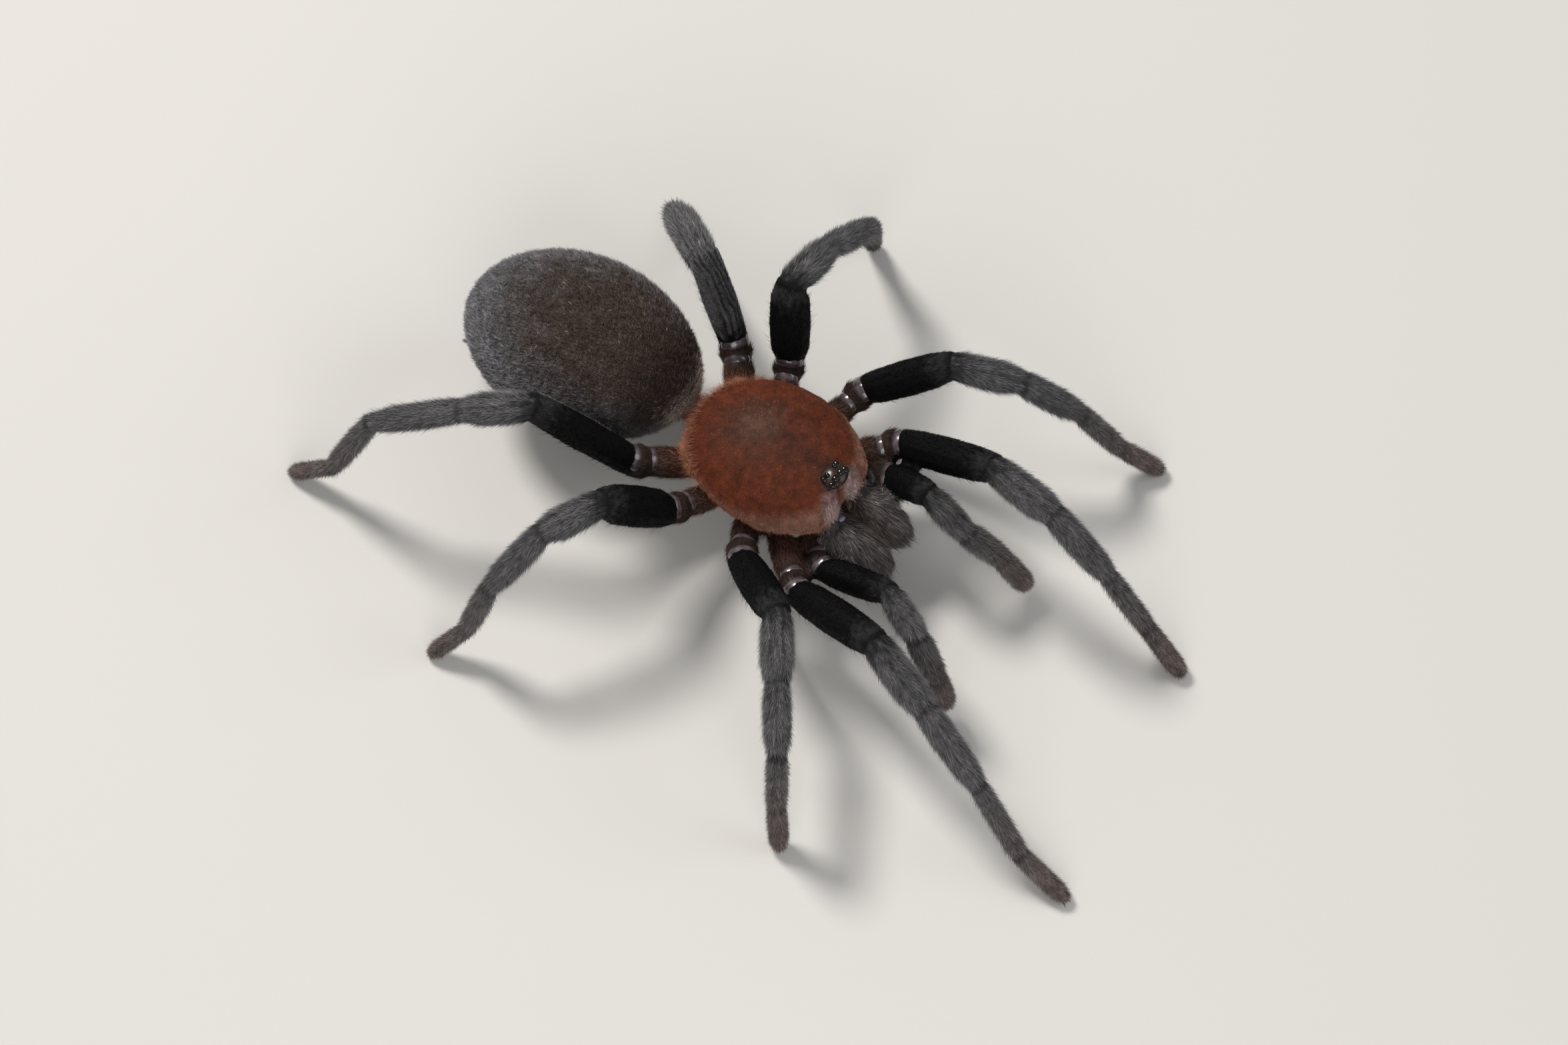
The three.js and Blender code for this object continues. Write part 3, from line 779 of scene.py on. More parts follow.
def shell_material(name, tint, rough, dark, scale, **sockets):
    """Bare shell: one colour clouded with a darker one, with a faint grain in its polish."""
    made, shader = new_material(name, rough, **sockets)
    cloudy = add_node(made, "ShaderNodeMix")
    cloudy.data_type = "RGBA"
    cloudy.inputs["A"].default_value = (*tint, 1)
    cloudy.inputs["B"].default_value = (*(np.array(tint) * dark), 1)
    join(made, spread(made, grain_node(made, scale), 0.0, 1.0), cloudy.inputs["Factor"])
    join(made, cloudy.outputs["Result"], shader.inputs["Base Color"])
    bump(made, shader, grain_node(made, scale * 4), 0.25, 0.00003)
    return made


# ---------------------------------------------------------------- making meshes


def deselect():
    if bpy.context.object and bpy.context.object.mode != "OBJECT":
        bpy.ops.object.mode_set(mode="OBJECT")
    bpy.ops.object.select_all(action="DESELECT")


def select_only(*objects):
    deselect()
    for piece in objects:
        piece.select_set(True)
    bpy.context.view_layer.objects.active = objects[0]


def apply_modifier(piece, name, kind, **values):
    select_only(piece)
    modifier = piece.modifiers.new(name, kind)
    for key, value in values.items():
        setattr(modifier, key, value)
    bpy.ops.object.modifier_apply(modifier=name)


def finish_piece(piece, name, material, slot, nodes=()):
    """Names a finished piece, paints it and fixes it to the body."""
    piece.name = name
    piece.data.name = name
    piece.data.materials.clear()
    piece.data.materials.append(material)
    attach(piece, "root")
    if nodes:
        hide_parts(*nodes)
    return piece


def face_outwards(piece):
    select_only(piece)
    bpy.ops.object.mode_set(mode="EDIT")
    bpy.ops.mesh.select_all(action="SELECT")
    bpy.ops.mesh.remove_doubles(threshold=1e-7)
    bpy.ops.mesh.normals_make_consistent(inside=False)
    bpy.ops.object.mode_set(mode="OBJECT")


def paint(mesh, name, values):
    """Keeps a colour, or one number, with each point of a mesh."""
    if values.ndim == 2:
        values = np.concatenate([values, np.ones((len(values), 1))], 1)
        kind, key = "FLOAT_COLOR", "color"
    else:
        kind, key = "FLOAT", "value"
    layer = mesh.attributes.new(name, kind, "POINT")
    layer.data.foreach_set(key, values.astype(np.float32).ravel())


def place_points(mesh, places):
    """Puts the points of a mesh at these places, in millimetres."""
    mesh.vertices.foreach_set("co", (places * MM).astype(np.float32).ravel())


# ---------------------------------------------------------------- skin

SKIN = {}


def skin_shape():
    """One closed skin from copies of every flesh node, swollen to meet and shrunk again."""
    sizes = setting("skin")
    copies = []
    for name in FLESH:
        copy = frame["nodes"][name].copy()
        copy.data = copy.data.copy()
        copy.parent = None
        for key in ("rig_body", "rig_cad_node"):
            del copy[key]
        bpy.context.scene.collection.objects.link(copy)
        copies.append(copy)
    select_only(*copies)
    bpy.ops.object.join()
    skin = bpy.context.object
    bpy.ops.object.mode_set(mode="EDIT")
    bpy.ops.mesh.select_all(action="SELECT")
    bpy.ops.mesh.remove_doubles(threshold=1e-6)
    bpy.ops.object.mode_set(mode="OBJECT")
    apply_modifier(skin, "swell", "DISPLACE", strength=sizes.closing, mid_level=0.0)
    apply_modifier(skin, "knit", "REMESH", mode="VOXEL", voxel_size=sizes.grain)
    apply_modifier(skin, "relax", "SMOOTH", factor=0.5, iterations=sizes.smoothing)
    apply_modifier(skin, "thin", "DECIMATE", ratio=sizes.thinning)
    return skin


def mesh_arrays(piece):
    """Places in millimetres, normals and triangles of a piece."""
    places, triangles = points_and_triangles(piece.data)
    normals = np.empty(places.size, np.float32)
    piece.data.vertex_normals.foreach_get("vector", normals)
    return places, normals.reshape(-1, 3).astype(float), triangles


def nearest_nodes(points):
    """The flesh node that each point lies on."""
    corners, faces, owners, shift = [], [], [], 0
    for name in FLESH:
        places, triangles = node_mesh(name)
        corners.append(places)
        faces.append(triangles + shift)
        owners += [name] * len(triangles)
        shift += len(places)
    tree = BVHTree.FromPolygons(np.concatenate(corners).tolist(), np.concatenate(faces).tolist())
    owners = np.array(owners)
    return owners[[tree.find_nearest(Vector(p))[2] for p in points]]


def spread_over_edges(values, mesh, rounds):
    """A value of each vertex evened out with its neighbours'."""
    edges = np.empty(len(mesh.edges) * 2, np.int32)
    mesh.edges.foreach_get("vertices", edges)
    a, b = edges.reshape(-1, 2).T
    count = np.bincount(edges, minlength=len(values))
    for _ in range(rounds):
        total = np.bincount(a, values[b], len(values)) + np.bincount(b, values[a], len(values))
        values = (values + total / np.maximum(count, 1)) / 2
    return values


def bareness(found):
    """Where the shell shows bare: 1 there and 0 under the coat."""
    mound = ANATOMY["mound"]
    away = found["points"] - mound
    round_eyes = np.sqrt((away[:, 0] / 1.45) ** 2 + (away[:, 1] / 1.25) ** 2)
    bare = among(found, "carapace") * smooth_step(1.1, 0.9, round_eyes)
    bare = bare * smooth_step(mound[2] - 1.6, mound[2] - 1.1, found["points"][:, 2])
    hips = among(found, *HIP_ZONES) * smooth_step(-0.2, 0.4, np.cos(found["angle"]))
    bands = smooth_step(0.75, 0.3, np.minimum(found["ahead"], found["behind"]))
    return np.maximum(bare, hips * bands)


class TARANTULA_OT_skin(bpy.types.Operator):
    """One skin over the whole body, under the coat"""

    bl_idname = "tarantula.skin"
    bl_label = "Skin"

    def execute(self, context):
        ANATOMY.update(read_anatomy())
        skin = skin_shape()
        places, normals, _ = mesh_arrays(skin)
        nodes = nearest_nodes(places)
        found = describe(places, normals, nodes)
        depth = np.array([COAT_DEPTH[z] for z in ZONES])[found["zone"]]
        # Between the jaws there is hardly room for a coat, and joint lines are shallow grooves.
        inner = smooth_step(1.5, 0.3, np.abs(places[:, 0] - ANATOMY["middle"]))
        depth = depth * (1 - 0.9 * inner * among(found, "jaw")) + 0.06 * joint_line(found, 0.25)
        depth = spread_over_edges(depth, skin.data, 2)
        places = places - normals * (depth + setting("skin").closing / MM)[:, None]
        places[:, 2] = np.maximum(places[:, 2], SKIN_OFF_FLOOR)
        place_points(skin.data, places)
        skin.data.update()
        found["points"] = places
        bare = bareness(found)
        tint = tint_of(found)
        # The skin under the coat is painted darker than its hairs, at 0.4 of their tint, as painted
        # shade beneath the coat.
        tint = mix(tint * 0.4, np.tile(colour("shell"), (len(tint), 1)), bare)
        paint(skin.data, "tint", tint)
        paint(skin.data, "bare", bare)
        select_only(skin)
        bpy.ops.object.shade_smooth()
        finish_piece(skin, "skin", skin_material(), "slate_coat", FLESH)
        places, normals, triangles = mesh_arrays(skin)
        SKIN.update(places=places, normals=normals, triangles=triangles, nodes=nodes, bare=bare)
        SKIN.update(zone=found["zone"], limb=found["limb"])
        return {"FINISHED"}


# ---------------------------------------------------------------- coat


# A hair's corners, from its root to its tip: how bright each is beside the hair's own tint, with
# the root darker as painted shade among the hairs and the tip paler, and where each lies in the
# hair's small patch of the bake map, in thousandths of the map.
STRAIGHT_SHADE = [0.42, 0.42, 0.55, 1.4]
STRAIGHT_PATCH = [(0, 0), (3, 0), (1.5, -1), (1.5, 3)]
STRAIGHT_FACES = [(0, 3, 1), (1, 3, 2), (2, 3, 0), (0, 1, 2)]
BENT_SHADE = [0.4, 0.4, 0.5, 0.85, 0.85, 0.95, 1.45]
BENT_PATCH = [(0, 0), (3, 0), (1.5, -1), (0.4, 1.5), (2.6, 1.5), (1.5, 1.1), (1.5, 3)]
BENT_FACES = [
    face
    for a, b in ((0, 1), (1, 2), (2, 0))
    for face in ((a, a + 3, b), (b, a + 3, b + 3), (a + 3, 6, b + 3))
] + [(0, 1, 2)]
BEND_WIDTH = 0.8  # a bent hair's width at its bend, beside its root's


def corner_ring(base, side, lift, half, size=1.0):
    """Three corners of a hair, at this share of its width."""
    return [base - side * half * size, base + side * half * size, base + lift * half * size]


def hair_mesh(name, found, ways, sizes, tints, spots, later=None):
    """Thin closed hairs that point along their ways, as one mesh with its tint and bake map.

    sizes holds the lengths and widths, and spots where each root lies on the unwrapped skin. A
    hair is a pyramid or, where a later way is given, a spike that bends to it half way along."""
    long, wide = sizes
    side = units(np.cross(ways, found["normals"]))
    lift = np.cross(side, ways)
    half = wide[:, None] / 2
    start = found["points"] - found["normals"] * ROOT_DEPTH
    hair = corner_ring(start, side, lift, half)
    if later is None:
        hair.append(start + ways * long[:, None])
        faces, shade, patch = STRAIGHT_FACES, STRAIGHT_SHADE, STRAIGHT_PATCH
    else:
        bend = start + ways * (long * 0.5)[:, None]
        hair += corner_ring(bend, side, lift, half, BEND_WIDTH)
        hair.append(bend + later * (long * 0.5)[:, None])
        faces, shade, patch = BENT_FACES, BENT_SHADE, BENT_PATCH
    count, each = len(start), len(hair)
    corners = (np.array(faces)[None] + each * np.arange(count)[:, None, None]).reshape(-1, 3)
    places = np.stack(hair, 1).reshape(-1, 3)
    places[:, 2] = np.maximum(places[:, 2], COAT_OFF_FLOOR)
    mesh = bpy.data.meshes.new(name)
    mesh.vertices.add(len(places))
    place_points(mesh, places)
    mesh.loops.add(corners.size)
    mesh.loops.foreach_set("vertex_index", corners.astype(np.int32).ravel())
    mesh.polygons.add(len(corners))
    mesh.polygons.foreach_set("loop_start", (np.arange(len(corners)) * 3).astype(np.int32))
    mesh.update(calc_edges=True)
    mesh.validate()
    # Each corner takes the hair's tint times its shade: painted shade at the root, paler towards
    # the tip.
    painted = np.clip(tints[:, None] * np.array(shade)[None, :, None], 0, 1).reshape(-1, 3)
    paint(mesh, "tint", painted)
    patch = np.array(patch, float) / 1000
    where = (spots[:, None] + patch[None]).reshape(-1, 2)[corners.ravel()]
    layer = mesh.uv_layers.new(name="OFBake")
    layer.data.foreach_set("uv", where.astype(np.float32).ravel())
    mesh.polygons.foreach_set("use_smooth", np.ones(len(corners), bool))
    piece = bpy.data.objects.new(name, mesh)
    bpy.context.scene.collection.objects.link(piece)
    return piece


def unwrapped(found, which):
    """Where each point lies on an unwrap of the skin: along a limb, or round a body part."""
    if which == "hip":
        number = found["limb"]
        along, round_it = found["place"] / 12.0, found["angle"] / (2 * math.pi) + 0.5
        spots = np.stack([(along + number // 2) / 5, (round_it + number % 2) / 2], 1)
    elif which == "limb":
        end = found["place"].max() + 0.5
        spots = np.stack([found["place"] / end, found["angle"] / (2 * math.pi) + 0.5], 1)
    elif which == "ball":
        way = units(found["own"])
        round_it = np.arctan2(way[:, 0], way[:, 2]) / (2 * math.pi) + 0.5
        spots = np.stack([round_it, way[:, 1] / 2 + 0.5], 1)
    elif which == "pair":
        way = units(found["own"])
        right = (found["points"][:, 0] < ANATOMY["middle"]) * 0.5
        round_it = np.arctan2(way[:, 0], way[:, 2]) / (4 * math.pi) + 0.25
        spots = np.stack([round_it + right, way[:, 1] / 2 + 0.5], 1)
    else:
        spots = found["own"][:, :2] / 2.2 + 0.5
    return spots * 0.985 + 0.006


def turned(lie, normals, angle):
    """The lie of the coat turned over the skin by an angle."""
    side = np.cross(normals, lie)
    return lie * np.cos(angle)[:, None] + side * np.sin(angle)[:, None]


def risen(lie, normals, angle):
    """The lie of the coat lifted off the skin by an angle."""
    return lie * np.cos(angle)[:, None] + normals * np.sin(angle)[:, None]


def roots_in(density, chance, limb=None, pick=None):
    """Roots spread over the skin, with everything known of each.

    density gives the hairs to the square millimetre of each zone that has some, and pick the share
    of them that are kept."""
    triangles = SKIN["triangles"]
    first = triangles[:, 0]
    weights = np.array([density.get(z, 0.0) for z in ZONES])[SKIN["zone"][first]]
    if limb is not None:
        weights = weights * (SKIN["limb"][first] == LIMBS.index(limb))
    weights = weights * areas_of(SKIN["places"], triangles) * (1 - 0.92 * SKIN["bare"][first])
    # The coat is thinner on the underside.
    weights = weights * (0.4 + 0.6 * smooth_step(-0.85, -0.15, SKIN["normals"][first, 2]))
    count = int(weights.sum() * setting("coat").fullness * (1.0))
    which, shares = scatter(weights, count, chance)
    points = at_shares(SKIN["places"], triangles, which, shares)
    normals = units(at_shares(SKIN["normals"], triangles, which, shares))
    found = describe(points, normals, SKIN["nodes"][triangles[which, 0]])
    keep = among(found, *density)
    if pick is not None:
        keep &= chance.uniform(size=count) < pick(found)
    return {key: value[keep] for key, value in found.items()}


def styled(found, column):
    """A column of the table of coats, for each root."""
    number = COAT_COLUMNS.index(column)
    return np.array([COAT[z][number] for z in ZONES])[found["zone"]]


def strand_ways(found, lift, stray, chance):
    """The way each hair points, from the lie of the coat, its lift and its own straying."""
    count = len(found["points"])
    drift = ripple(found["points"], 1.1, 51) * 0.55 + chance.normal(size=count) * 0.6
    lie = turned(found["lie"], found["normals"], np.radians(stray) * drift)
    lift = np.radians(lift * (1 + 0.35 * chance.normal(size=count)))
    return risen(lie, found["normals"], lift)


def strand_tones(found, variation, chance):
    """The tint of each hair; a few hairs of the velvet and the wool are pale."""
    count = len(found["points"])
    tone = np.exp(chance.normal(size=count) * variation)
    tints = tint_of(found) * tone[:, None]
    pale = (chance.uniform(size=count) < 0.055) & among(found, "carapace")
    tints[pale] = mix(tints[pale], colour("fringe") * 0.8, 0.6)
    white = (chance.uniform(size=count) < 0.0015) & among(found, "abdomen")
    tints[white] = mix(tints[white], colour("cream") * 1.3, 0.8)
    return tints


def short_coat(name, zones, chance, which, limb=None, curled=False):
    """The short coat of some zones as one piece."""
    found = roots_in({zone: COAT[zone][0] for zone in zones}, chance, limb)
    count = len(found["points"])
    ways = strand_ways(found, styled(found, "lift"), styled(found, "stray"), chance)
    long = styled(found, "length") * chance.uniform(0.7, 1.25, count) * end_shortening(found)
    wide = styled(found, "width") * chance.uniform(0.8, 1.25, count)
    if curled:
        ways = woolly_ways(found, chance)
    tints = strand_tones(found, styled(found, "variation"), chance)
    return hair_mesh(name, found, ways, (long, wide), tints, unwrapped(found, which))


def end_shortening(found):
    """Hairs are a little shorter where their segment ends, so that the joint lines show."""
    limb = found["limb"] >= 0
    return np.where(limb, 0.7 + 0.3 * smooth_step(0.0, 0.6, found["ahead"]), 1.0)


def long_coat(name, found, lift, fall, sizes, variation, chance, which, tinge=None):
    """Longer bent hairs: they rise by lift and then lean by fall, in degrees. A tinge is a colour
    that most of them take."""
    count = len(found["points"])
    ways = strand_ways(found, lift, 14.0, chance)
    later = risen(found["lie"], found["normals"], np.full(count, np.radians(lift + fall)))
    later = units(later + ways * 0.35 + chance.normal(size=(count, 3)) * 0.06)
    long = sizes[0] * chance.uniform(0.65, 1.3, count)
    wide = sizes[1] * chance.uniform(0.8, 1.2, count)
    tints = strand_tones(found, variation, chance)
    if tinge is not None:
        tints = mix(tints, tinge, chance.uniform(0.2, 0.95, count))
    return hair_mesh(name, found, ways, (long, wide), tints, unwrapped(found, which), later)


def joined(name, pieces):
    """Several hair meshes as one piece."""
    select_only(*pieces)
    if len(pieces) > 1:
        bpy.ops.object.join()
    piece = bpy.context.object
    piece.name = name
    return piece


MATERIALS = {}


def coat_finish(kind):
    """The hair material of one kind of coat, made once."""
    recipes = {
        "velvet_coat": (0.65, 0.8, 1.2, {"Specular_IOR_Level": 0.08}),
        "black_coat": (0.9, 0.8, 1.2, {"Specular_IOR_Level": 0.0}),
        "wool_coat": (0.62, 0.75, 1.25, {"Specular_IOR_Level": 0.15}),
        "combed_coat": (0.55, 0.8, 1.2, {"Specular_IOR_Level": 0.2}),
    }
    if kind not in MATERIALS:
        rough, low, high, sockets = recipes[kind]
        MATERIALS[kind] = coat_material(kind, rough, low, high, **sockets)
    return MATERIALS[kind]


def chance_for(name):
    return np.random.default_rng([setting("coat").seed, *name.encode()])


def woolly_ways(found, chance):
    """The way each hair of the wool points: every tuft leans its own way."""
    points, normals = found["points"], found["normals"]
    curl = ripple(points, 0.9, 61) * 1.1 + ripple(points, 0.4, 62) * 0.7
    flat = turned(found["lie"], normals, curl + chance.normal(size=len(points)) * 0.4)
    rise = np.radians(30 + 14 * ripple(points, 0.7, 63))
    return risen(flat, normals, rise)


class TARANTULA_OT_hind_coat(bpy.types.Operator):
    """Wool of the hind body, and the short hair of the spinnerets"""

    bl_idname = "tarantula.hind_coat"
    bl_label = "Hind body coat"

    def execute(self, context):
        chance = chance_for("hind")
        wool = short_coat("coat_hind_body", ["abdomen"], chance, "ball", curled=True)
        finish_piece(wool, "coat_hind_body", coat_finish("wool_coat"), "hind_coat")
        found = roots_in({"abdomen": 4.0}, chance)
        guard = long_coat("guard", found, 30.0, -12.0, (0.95, 0.032), 0.3, chance, "ball")
        found = roots_in({"abdomen": 24.0}, chance, pick=waist_share)
        cream, size = colour("cream"), (0.9, 0.026)
        pale = long_coat("pale", found, 30.0, -6.0, size, 0.2, chance, "ball", cream)
        piece = joined("coat_hind_body_long", [guard, pale])
        finish_piece(piece, "coat_hind_body_long", coat_finish("wool_coat"), "hind_coat")
        tips = short_coat("coat_spinnerets", ["spinneret"], chance, "pair")
        finish_piece(tips, "coat_spinnerets", coat_finish("wool_coat"), "hind_coat")
        return {"FINISHED"}


def margin_share(found, start):
    """The share of hairs that stand from this far out in the carapace to its edge."""
    own = found["own"]
    return smooth_step(start, 1.0, np.sqrt(own[:, 0] ** 2 + own[:, 1] ** 2))


def fringe_share(found):
    """The margin of the carapace, where it doesn't face down."""
    return margin_share(found, 0.9) * smooth_step(-0.6, 0.1, found["normals"][:, 2])


def waist_fringe_share(found):
    """The rear margin of the carapace, over the waist."""
    return margin_share(found, 0.8) * smooth_step(0.3, 0.8, found["own"][:, 1])


def swept_aside(found, chance):
    """Turns the lie of hairs in drifts, so that they cross one another."""
    turn = 0.75 * ripple(found["points"], 1.3, 71)
    turn += chance.normal(size=len(found["points"])) * 0.4
    found["lie"] = turned(found["lie"], found["normals"], turn)


class TARANTULA_OT_carapace_coat(bpy.types.Operator):
    """Rust velvet of the carapace and the pale fringe at its margin"""

    bl_idname = "tarantula.carapace_coat"
    bl_label = "Carapace coat"

    def execute(self, context):
        chance = chance_for("carapace")
        velvet = short_coat("coat_carapace", ["carapace"], chance, "flat")
        pale = colour("fringe")
        found = roots_in({"carapace": 60.0}, chance, pick=fringe_share)
        swept_aside(found, chance)
        fringe = long_coat("fringe", found, 14.0, -8.0, (0.6, 0.022), 0.3, chance, "flat", pale)
        found = roots_in({"carapace": 80.0}, chance, pick=waist_fringe_share)
        swept_aside(found, chance)
        orange, size = pale * [0.95, 0.8, 0.7], (1.5, 0.024)
        waist = long_coat("waist", found, 18.0, -2.0, size, 0.3, chance, "flat", orange)
        found = roots_in({"carapace": 110.0}, chance, pick=brow)
        tuft = long_coat("tuft", found, 22.0, -30.0, (0.75, 0.03), 0.25, chance, "flat")
        finish_piece(velvet, "coat_carapace", coat_finish("velvet_coat"), "rust_coat")
        piece = joined("coat_carapace_edge", [fringe, waist, tuft])
        finish_piece(piece, "coat_carapace_edge", coat_finish("velvet_coat"), "rust_coat")
        under = short_coat("coat_breast", ["sternum"], chance, "flat")
        finish_piece(under, "coat_breast", coat_finish("velvet_coat"), "brown_shell")
        return {"FINISHED"}


class TARANTULA_OT_jaw_coat(bpy.types.Operator):
    """Long combed hair of the two jaws"""

    bl_idname = "tarantula.jaw_coat"
    bl_label = "Jaw coat"

    def execute(self, context):
        chance = chance_for("jaws")
        density, *size = COAT["jaw"][:3]
        found = roots_in({"jaw": density}, chance)
        combed = long_coat("combed", found, 13.0, -8.0, size, 0.5, chance, "pair")
        found = roots_in({"jaw": 5.0}, chance)
        stray = long_coat("stray", found, 20.0, 4.0, (1.7, 0.032), 0.5, chance, "pair")
        piece = joined("coat_jaws", [combed, stray])
        finish_piece(piece, "coat_jaws", coat_finish("combed_coat"), "grey_coat")
        return {"FINISHED"}


def low_side(found):
    """Long hairs stand thickest on the lower sides of a limb."""
    low = smooth_step(0.35, -0.5, np.cos(found["angle"]))
    return np.where(among(found, "femur"), low * 0.9, 0.45 + 0.55 * low)


class TARANTULA_OT_limb_coats(bpy.types.Operator):
    """Coat of the eight legs and the two feelers, combed towards the feet"""

    bl_idname = "tarantula.limb_coats"
    bl_label = "Limb coats"

    def execute(self, context):
        kinds = (
            ("thigh", ["femur"], "black_coat", "black_coat", 1.1),
            ("shin", SHIN_ZONES, "combed_coat", "slate_coat", 1.05),
        )
        for limb in LIMBS:
            for part, zones, finish, slot, length in kinds:
                name = f"coat_{limb}_{part}"
                chance = chance_for(name)
                short = short_coat("short", zones, chance, "limb", limb=limb)
                density = {zone: BRISTLES[zone] for zone in zones}
                found = roots_in(density, chance, limb=limb, pick=low_side)
                long = length * end_shortening(found) * np.where(among(found, "tarsus"), 0.6, 1.0)
                size = (long, 0.03)
                bristles = long_coat("bristles", found, 30.0, -2.0, size, 0.35, chance, "limb")
                finish_piece(joined(name, [short, bristles]), name, coat_finish(finish), slot)
        chance = chance_for("hips")
        hips = [short_coat("hip", HIP_ZONES, chance, "hip", limb=limb) for limb in LIMBS]
        velvet = coat_finish("velvet_coat")
        finish_piece(joined("coat_hips", hips), "coat_hips", velvet, "brown_shell")
        return {"FINISHED"}


# ---------------------------------------------------------------- bare parts


def unit_ball(name, segments, rings):
    """A ball of radius one with its poles at the sides."""
    deselect()
    bpy.ops.mesh.primitive_uv_sphere_add(segments=segments, ring_count=rings, radius=1.0)
    ball = bpy.context.object
    ball.name = name
    return ball


def shape_points(piece, change):
    """Moves every point of a piece by a function of all its points, in millimetres."""
    mesh = piece.data
    places = np.empty(len(mesh.vertices) * 3)
    mesh.vertices.foreach_get("co", places)
    place_points(mesh, change(places.reshape(-1, 3)))
    mesh.update()


class TARANTULA_OT_eyes(bpy.types.Operator):
    """The dark polished mound and the eight bead eyes on it"""

    bl_idname = "tarantula.eyes"
    bl_label = "Eyes"

    def execute(self, context):
        wet = {"Coat_Weight": 0.1, "Coat_Roughness": 0.03, "Specular_IOR_Level": 0.3}
        bead = shell_material("eye", (0.006, 0.004, 0.003), 0.1, 0.4, 2500.0, **wet)
        for name in EYES:
            low, high = (np.array(corner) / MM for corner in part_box(name))
            middle, half = (low + high) / 2, (high - low) / 2
            half *= [1.18, 1.18, 1.15]
            ball = unit_ball(name, 24, 14)
            # An eye bulges most in the middle and meets the mound in a soft shoulder.
            shape_points(ball, lambda p: middle + p * half * (1 - 0.1 * np.abs(p[:, 2:3]) ** 3))
            bpy.ops.object.shade_smooth()
            finish_piece(ball, "bead_" + name, bead, "eye", [name])
        middle, half = ANATOMY["mound"], np.array([1.36, 1.18, 0.62])
        mound = unit_ball("eye_mound", 48, 24)

        def swell(points):
            dimpled = 1 + 0.03 * ripple(points, 0.9, 71)[:, None]
            return middle + [0, 0, -0.38] + points * half * dimpled

        shape_points(mound, swell)
        bpy.ops.object.shade_smooth()
        gloss = {"Specular_IOR_Level": 0.2, "Coat_Weight": 0.12, "Coat_Roughness": 0.08}
        polish = shell_material("mound", (0.032, 0.015, 0.011), 0.3, 0.4, 1800.0, **gloss)
        finish_piece(mound, "eye_mound", polish, "eye")
        return {"FINISHED"}


def horn_mesh(name, line, widths, sides=14):
    """A tapered horn along a line of points: a round, extruded from ring to ring and closed."""
    ways = units(np.gradient(line, axis=0))
    deselect()
    bpy.ops.mesh.primitive_circle_add(vertices=sides, radius=1.0, fill_type="NGON")
    horn = bpy.context.object
    horn.name = name
    ring = bmesh.new()
    ring.from_mesh(horn.data)
    ring.faces.ensure_lookup_table()
    face = ring.faces[0]

    def place(face, middle, way, size):
        side = Vector(np.cross(way, [0.3, 0.2, 1.0])).normalized()
        top = Vector(way).cross(side)
        for k, corner in enumerate(face.verts):
            turn = 2 * math.pi * k / sides
            out = math.cos(turn) * side + math.sin(turn) * top
            corner.co = Vector(middle) + float(size) * out

    place(face, line[0] * MM, ways[0], widths[0] * MM)
    for middle, way, size in zip(line[1:], ways[1:], widths[1:]):
        face = extruded(ring, face)
        place(face, middle * MM, way, size * MM)
    bmesh.ops.holes_fill(ring, edges=ring.edges[:])
    ring.to_mesh(horn.data)
    ring.free()
    face_outwards(horn)
    bpy.ops.object.shade_smooth()
    return horn


def extruded(ring, face):
    """The cap of a new length of wall that grows from a face."""
    made = bmesh.ops.extrude_discrete_faces(ring, faces=[face])
    return made["faces"][0]


class TARANTULA_OT_fangs(bpy.types.Operator):
    """The two fangs and the small claws at the ends of the feet"""

    bl_idname = "tarantula.fangs"
    bl_label = "Fangs and claws"

    def execute(self, context):
        polish = {"Coat_Weight": 0.6, "Coat_Roughness": 0.05}
        horn = shell_material("horn", (0.012, 0.008, 0.007), 0.14, 0.5, 900.0, **polish)
        for side in SIDES:
            name = "fang_" + side
            points, _ = node_mesh(name)
            top = points[np.argmax(points[:, 2] - 0.4 * points[:, 1])]
            tip = far_end(points, top)
            start = points[lengths(points - top) < 1.3].mean(0)
            line = even_steps(middle_line(cloud(name, 900, chance_for(name)), start, tip), 0.4)
            share = np.linspace(0, 1, len(line))
            fang = horn_mesh(name, line, 0.56 * (1 - share**1.7) + 0.05)
            finish_piece(fang, "horn_" + name, horn, "fang", [name])
        claws = []
        for limb in LIMBS:
            data = ANATOMY["limbs"][limb]
            way, back = data["ways"][-3], data["backs"][-3]
            side = np.cross(back, way)
            base = data["line"][-1] - way * 0.75 + back * 0.1
            for turn in (-0.22, 0.22) if limb in LEGS else (0.0,):
                share = np.linspace(0, 1, 6)[:, None]
                line = base + way * share * 1.15 + side * turn * (0.6 + share)
                line = line - back * 0.42 * share**2.2
                line[:, 2] = np.maximum(line[:, 2], 0.12)
                widths = 0.11 * (1 - share[:, 0] ** 1.6) + 0.012
                claws.append(horn_mesh("claw", line, widths, 7))
        finish_piece(joined("claws", claws), "claws", horn, "fang")
        return {"FINISHED"}


